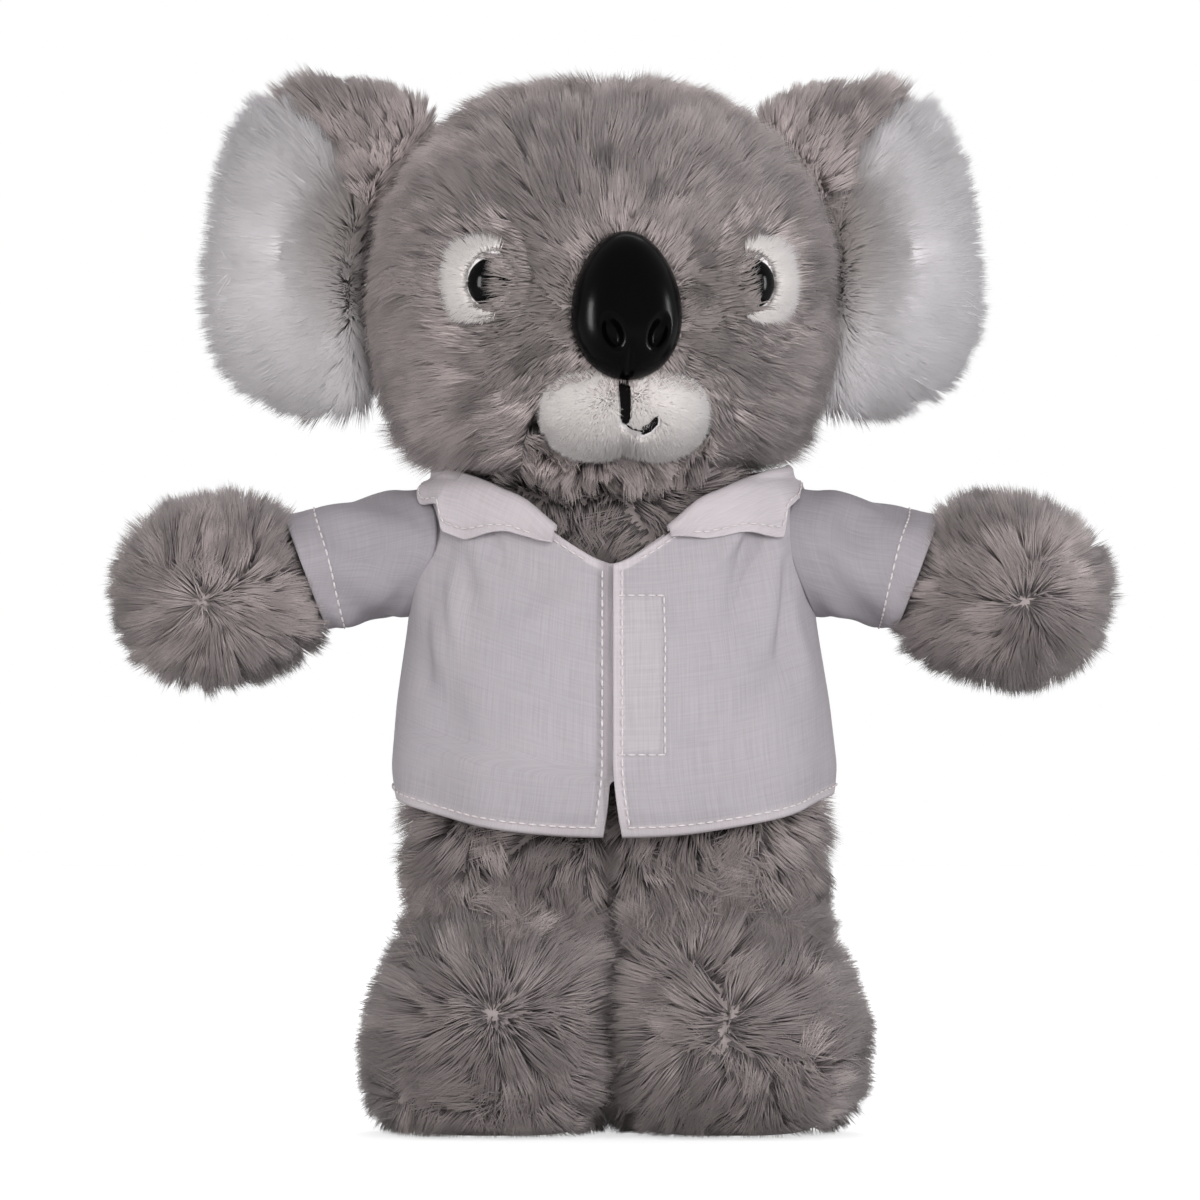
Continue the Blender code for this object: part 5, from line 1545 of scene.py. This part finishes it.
def collarPath(turn, sign):
    # the cloth's path at each turn: foot, over the fold, and down to the edge
    cloth, space = shirt["cloth"], collar["space"]
    angle = frontMiddle + sign * math.pi * turn
    stand = tableAt(collar["shares"], turn, 1, 0) * collar["stand"]
    fall = tableAt(collar["shares"], turn, 2, 0.004) * collar["fall"]
    foot = necklineHeight(angle) + shirt["gap"] + cloth / 2
    fold = foot + stand
    outside = -cloth / 2 - space
    curl = mm * (1.1 + 0.8 * np.sin(23 * turn + sign) + 0.5 * np.sin(51 * turn + 2 * sign))
    fall = fall + 0.9 * mm * np.sin(41 * turn + 2 * sign) * smooth((0.5 - turn) / 0.1)
    drop = fall - cloth
    path = [(foot, cloth / 2), (fold - cloth, cloth / 2)]
    path += [(fold, (cloth + outside) / 2), (fold - cloth, outside)]
    path += [(fold - cloth - drop * share, outside - curl * share ** 2) for share in (0.34, 0.67, 1)]
    rows = [np.stack(np.broadcast_arrays(height, inset, angle), axis=-1) for height, inset in path]
    line = np.stack(rows, axis=1)
    for _ in range(2):  # corners are rounded off
        first, last = line[:, :1], line[:, -1:]
        near = line[:, :-1] * 0.75 + line[:, 1:] * 0.25
        far = line[:, :-1] * 0.25 + line[:, 1:] * 0.75
        middle = np.stack([near, far], axis=2).reshape(len(line), -1, 3)
        line = np.concatenate([first, middle, last], axis=1)
    return line


def collarPoints(line):
    world = shirtPoints(line[..., 2], np.minimum(line[..., 0], shirt["neckHigh"]), line[..., 1])
    world[..., 2] = line[..., 0]
    return world


def makeCollar():
    stretches = (0.076, 0.296, 50), (0.298, 0.326, 14), (0.33, 1, 76)
    turns = np.concatenate([np.linspace(*stretch) for stretch in stretches])
    right, left = collarPath(turns, -1), collarPath(turns[::-1][1:], 1)
    left[..., 2] = left[..., 2] - 2 * math.pi
    line = np.concatenate([right, left], axis=0)
    points = collarPoints(line)
    name = "collar_cloth"
    mesh = clothMesh(name, points, np.ones(points.shape[:2]), shirt["cloth"])
    piece = newPiece(name, mesh, cotton, "torso")
    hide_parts("collar")


# Stitches

stitch = {"length": 2.2 * mm, "step": 2.8 * mm, "radius": 0.3 * mm, "lift": 0.24 * mm, "boxGap": 0.6 * mm}


def stitchRun(points, outs):
    # where the stitches of one run lie: centre, direction and outward
    points = np.asarray(points)
    size = np.concatenate([[0], np.linalg.norm(np.diff(points, axis=0), axis=1).cumsum()])

    def alongRun(place, values):
        return np.array([np.interp(place, size, values[:, axis]) for axis in range(3)])

    centres, alongs, ups = [], [], []
    for place in np.arange(stitch["step"] / 2, size[-1], stitch["step"]):
        low, high = (alongRun(place + shift * stitch["length"] / 2, points) for shift in (-1, 1))
        centres.append((low + high) / 2)
        alongs.append(unit(high - low))
        ups.append(unit(alongRun(place, outs)))
    return np.array(centres), np.array(alongs), np.array(ups)


def stitchMesh(name, runs):
    centres, alongs, ups = (np.concatenate(part) for part in zip(*runs))
    across = unit(np.cross(ups, alongs))
    ups = np.cross(alongs, across)
    bm = bmesh.new()
    bmesh.ops.create_uvsphere(bm, u_segments=8, v_segments=6, radius=1)
    bm.verts.index_update()
    shape = np.array([vert.co for vert in bm.verts])
    faces = [[vert.index for vert in face.verts] for face in bm.faces]
    bm.free()
    points = centres[:, None] + shape[None, :, 2:] * alongs[:, None] * stitch["length"] / 2
    beside = shape[None, :, :1] * across[:, None] + shape[None, :, 1:2] * ups[:, None]
    points = (points + beside * stitch["radius"]).reshape(-1, 3)
    starts = range(0, len(points), len(shape))
    mesh = bpy.data.meshes.new(name)
    mesh.from_pydata(
        points.tolist(), [], [[start + corner for corner in face] for start in starts for face in faces])
    return mesh


def shirtRun(sign, angle, height):
    x = shirtPoints(angle, height)[..., 0]
    doubled, _ = bandsOf(sign, x, angle, height)
    points = shirtPoints(angle, height)
    folds = foldRise(points) * smooth(np.abs(angle - frontMiddle - sign * math.pi / 2) / 0.3)
    rise = folds + shirt["bandLift"] * doubled + stitch["lift"]
    points = points + outwardOf(points) * rise[..., None]
    return stitchRun(points, outwardOf(points))


def makeStitches():
    steps = 400
    line = np.linspace(0, 1, steps)
    for side, sign in sides.items():
        runs = []
        seam = frontMiddle + sign * (math.pi / 2 - shirt["sideGap"])
        edge = angleAt(sign * (frontEdge(np.array(86 * mm)) + 1.5 * mm), np.array(86 * mm))
        angle = edge + line * (seam - edge)
        runs.append(shirtRun(sign, angle, hemHeight(angle) + shirt["hemStitch"]))
        height = np.linspace(87 * mm, 158 * mm, steps)
        runs.append(shirtRun(sign, angleAt(sign * (frontEdge(height) + shirt["edgeStitch"]), height), height))
        angle = frontMiddle + sign * np.linspace(0.10, 0.62, steps)
        runs.append(shirtRun(sign, angle, necklineHeight(angle) - shirt["neckStitch"]))
        if sign > 0:
            low = shirt["tapeBottom"] - stitch["boxGap"]
            high = shirt["tapeBottom"] + shirt["tapeLength"] + stitch["boxGap"]
            far = shirt["tapeEdge"] + shirt["tapeWidth"] + 0.4 * mm
            height = np.linspace(low, high, steps)
            runs.append(shirtRun(sign, angleAt(np.full(steps, far), height), height))
            for level in (low, high):
                x = np.linspace(shirt["tapeEdge"], far, steps)
                height = np.full(steps, level)
                runs.append(shirtRun(sign, angleAt(x, height), height))
        name = f"shirt_front_{side}_stitches"
        overThigh(newPiece(name, stitchMesh(name, runs), whiteThread, None))
        shoulder = shoulderFrame(side, sign)
        angle = np.linspace(0, 2 * math.pi, steps)
        share = np.full(steps, 1 - sleeve["cuffStitch"] / sleeve["length"])
        local = sleevePoints(share, angle, shirt["cloth"] / 2 + 0.1 * mm)
        around = np.stack([0 * angle, np.cos(angle), np.sin(angle)], axis=-1)
        world = turnOut(shoulder, local) + np.array(shoulder.translation)
        name = f"{side}_sleeve_stitches"
        mesh = stitchMesh(name, [stitchRun(world, turnOut(shoulder, around))])
        overArm(newPiece(name, mesh, whiteThread, None))
    angle = np.linspace(shirt["sideGap"], math.pi - shirt["sideGap"], steps)
    points = shirtPoints(angle, hemHeight(angle) + shirt["hemStitch"])
    points = points + outwardOf(points) * 0.4 * mm
    mesh = stitchMesh("shirt_back_stitches", [stitchRun(points, outwardOf(points))])
    newPiece("shirt_back_stitches", mesh, whiteThread, "torso")
    runs = []
    for sign in (1, -1):
        turns = np.linspace(0.11, 0.99, steps)
        path = collarPath(turns, sign)
        edge, before = path[:, -1], path[:, -4]
        back = 3.2 * mm / np.maximum(np.abs(edge[:, :1] - before[:, :1]), 0.5 * mm)
        along = edge + (before - edge) * np.minimum(back, 1.5)
        along[:, 1] -= shirt["cloth"] / 2 + 0.4 * mm
        points = collarPoints(along)
        runs.append(stitchRun(points, outwardOf(points)))
    newPiece("collar_stitches", stitchMesh("collar_stitches", runs), whiteThread, "torso")


for side, sign in sides.items():
    makeFront(side, sign)
    makeSleeve(side, sign)
makeBack()
makeCollar()
makeTape("hook_tape", shirt["hookInset"])
makeTape("loop_tape", shirt["loopInset"])
makeStitches()
print("shirt done")


# Washers, which stay as the CAD has them

def washerMaterial():
    made, tree, shader = newMaterial("washerPlastic", 0.4)
    cloud = noiseAt(tree, objectPlace(tree), 240.0, 3.0)
    colour = mixColour(tree, cloud, (0.66, 0.66, 0.62, 1), (0.76, 0.76, 0.73, 1))
    tree.links.new(colour, shader.inputs["Base Color"])
    return made


washerPlastic = washerMaterial()
for name in ("nose_washer", "left_eye_washer", "right_eye_washer"):
    node = frame["nodes"][name]
    for slot in node.material_slots:
        slot.material = washerPlastic


# Camera, lights and floor

def addStage():
    cameraSet = {"middle": (-3.36 * mm, 149.8 * mm), "width": 336 * mm, "distance": 3.0, "sensor": 36.0}
    camera = bpy.data.cameras.new("camera")
    camera.sensor_width = cameraSet["sensor"]
    camera.lens = cameraSet["sensor"] * cameraSet["distance"] / cameraSet["width"]
    holder = bpy.data.objects.new("camera", camera)
    holder.location = (cameraSet["middle"][0], -cameraSet["distance"], cameraSet["middle"][1])
    holder.rotation_euler = (math.radians(90), 0, 0)
    bpy.context.scene.collection.objects.link(holder)
    bpy.context.scene.camera = holder

    for name, place, size, power, colour, seenIn in (
        ("left", (-0.9, -0.75, 0.15), (0.04, 0.3), 3.0, (1, 0.985, 0.97), "matt"),
        ("right", (0.9, -0.75, 0.15), (0.04, 0.3), 2.8, (0.98, 0.985, 1), "matt"),
        ("front", (0.26, -1.15, 0.42), (0.8, 0.5), 8.0, (1, 0.995, 0.99), "matt"),
        ("back", (0.1, 0.9, 1.0), (0.9, 0.9), 7.0, (1, 1, 1), "both"),
        ("left_gleam", (-1.08, -0.5, 0.28), (0.24, 0.54), 24.0, (1, 0.99, 0.98), "gloss"),
        ("right_gleam", (1.16, -0.1, 0.28), (0.16, 0.54), 14.0, (0.98, 0.99, 1), "gloss"),
    ):
        light = bpy.data.lights.new(name, "AREA")
        light.shape = "RECTANGLE"
        light.size, light.size_y = size
        light.energy = power
        light.color = colour
        lamp = bpy.data.objects.new(name, light)
        lamp.visible_glossy = seenIn != "matt"
        lamp.visible_diffuse = seenIn != "gloss"
        lamp.location = place
        lamp.rotation_euler = (Vector((0, 0, 0.14)) - Vector(place)).to_track_quat("-Z", "Y").to_euler()
        bpy.context.scene.collection.objects.link(lamp)

    world = bpy.data.worlds.new("studio")
    world.use_nodes = True
    bpy.context.scene.world = world
    tree = world.node_tree
    tree.nodes.clear()
    room = addNode(tree, "ShaderNodeBackground", {"Color": (0.95, 0.95, 0.97, 1), "Strength": 0.44})
    white = addNode(tree, "ShaderNodeBackground", {"Color": (1, 1, 1, 1), "Strength": 1.0})
    mixed = addNode(tree, "ShaderNodeMixShader", {0: seenRay(tree), 1: room.outputs[0], 2: white.outputs[0]})
    out = tree.nodes.new("ShaderNodeOutputWorld")
    tree.links.new(mixed.outputs[0], out.inputs[0])

    bm = bmesh.new()
    bmesh.ops.create_grid(bm, x_segments=2, y_segments=2, size=3)
    mesh = meshFrom("floor", bm)
    floor = bpy.data.objects.new("floor", mesh)
    bpy.context.scene.collection.objects.link(floor)
    made, tree, shader = newMaterial("floorWhite", 0.9)
    shader.inputs["Base Color"].default_value = (0.5, 0.5, 0.5, 1)
    away = addNode(tree, "ShaderNodeVectorMath", {0: objectPlace(tree)}, operation="LENGTH").outputs["Value"]
    ramp = addNode(tree, "ShaderNodeMapRange", {0: away, 1: 0.1, 2: 0.5, 3: 0.68, 4: 1.0})
    strength = mathNode(tree, "MULTIPLY", seenRay(tree), ramp.outputs[0])
    glow = addNode(tree, "ShaderNodeEmission", {"Color": (1, 1, 1, 1), "Strength": strength})
    both = addNode(tree, "ShaderNodeAddShader", {0: shader.outputs[0], 1: glow.outputs[0]})
    tree.links.new(both.outputs[0], tree.nodes["Material Output"].inputs["Surface"])
    mesh.materials.append(made)


addStage()
scene = bpy.context.scene
scene.view_settings.view_transform = "Standard"
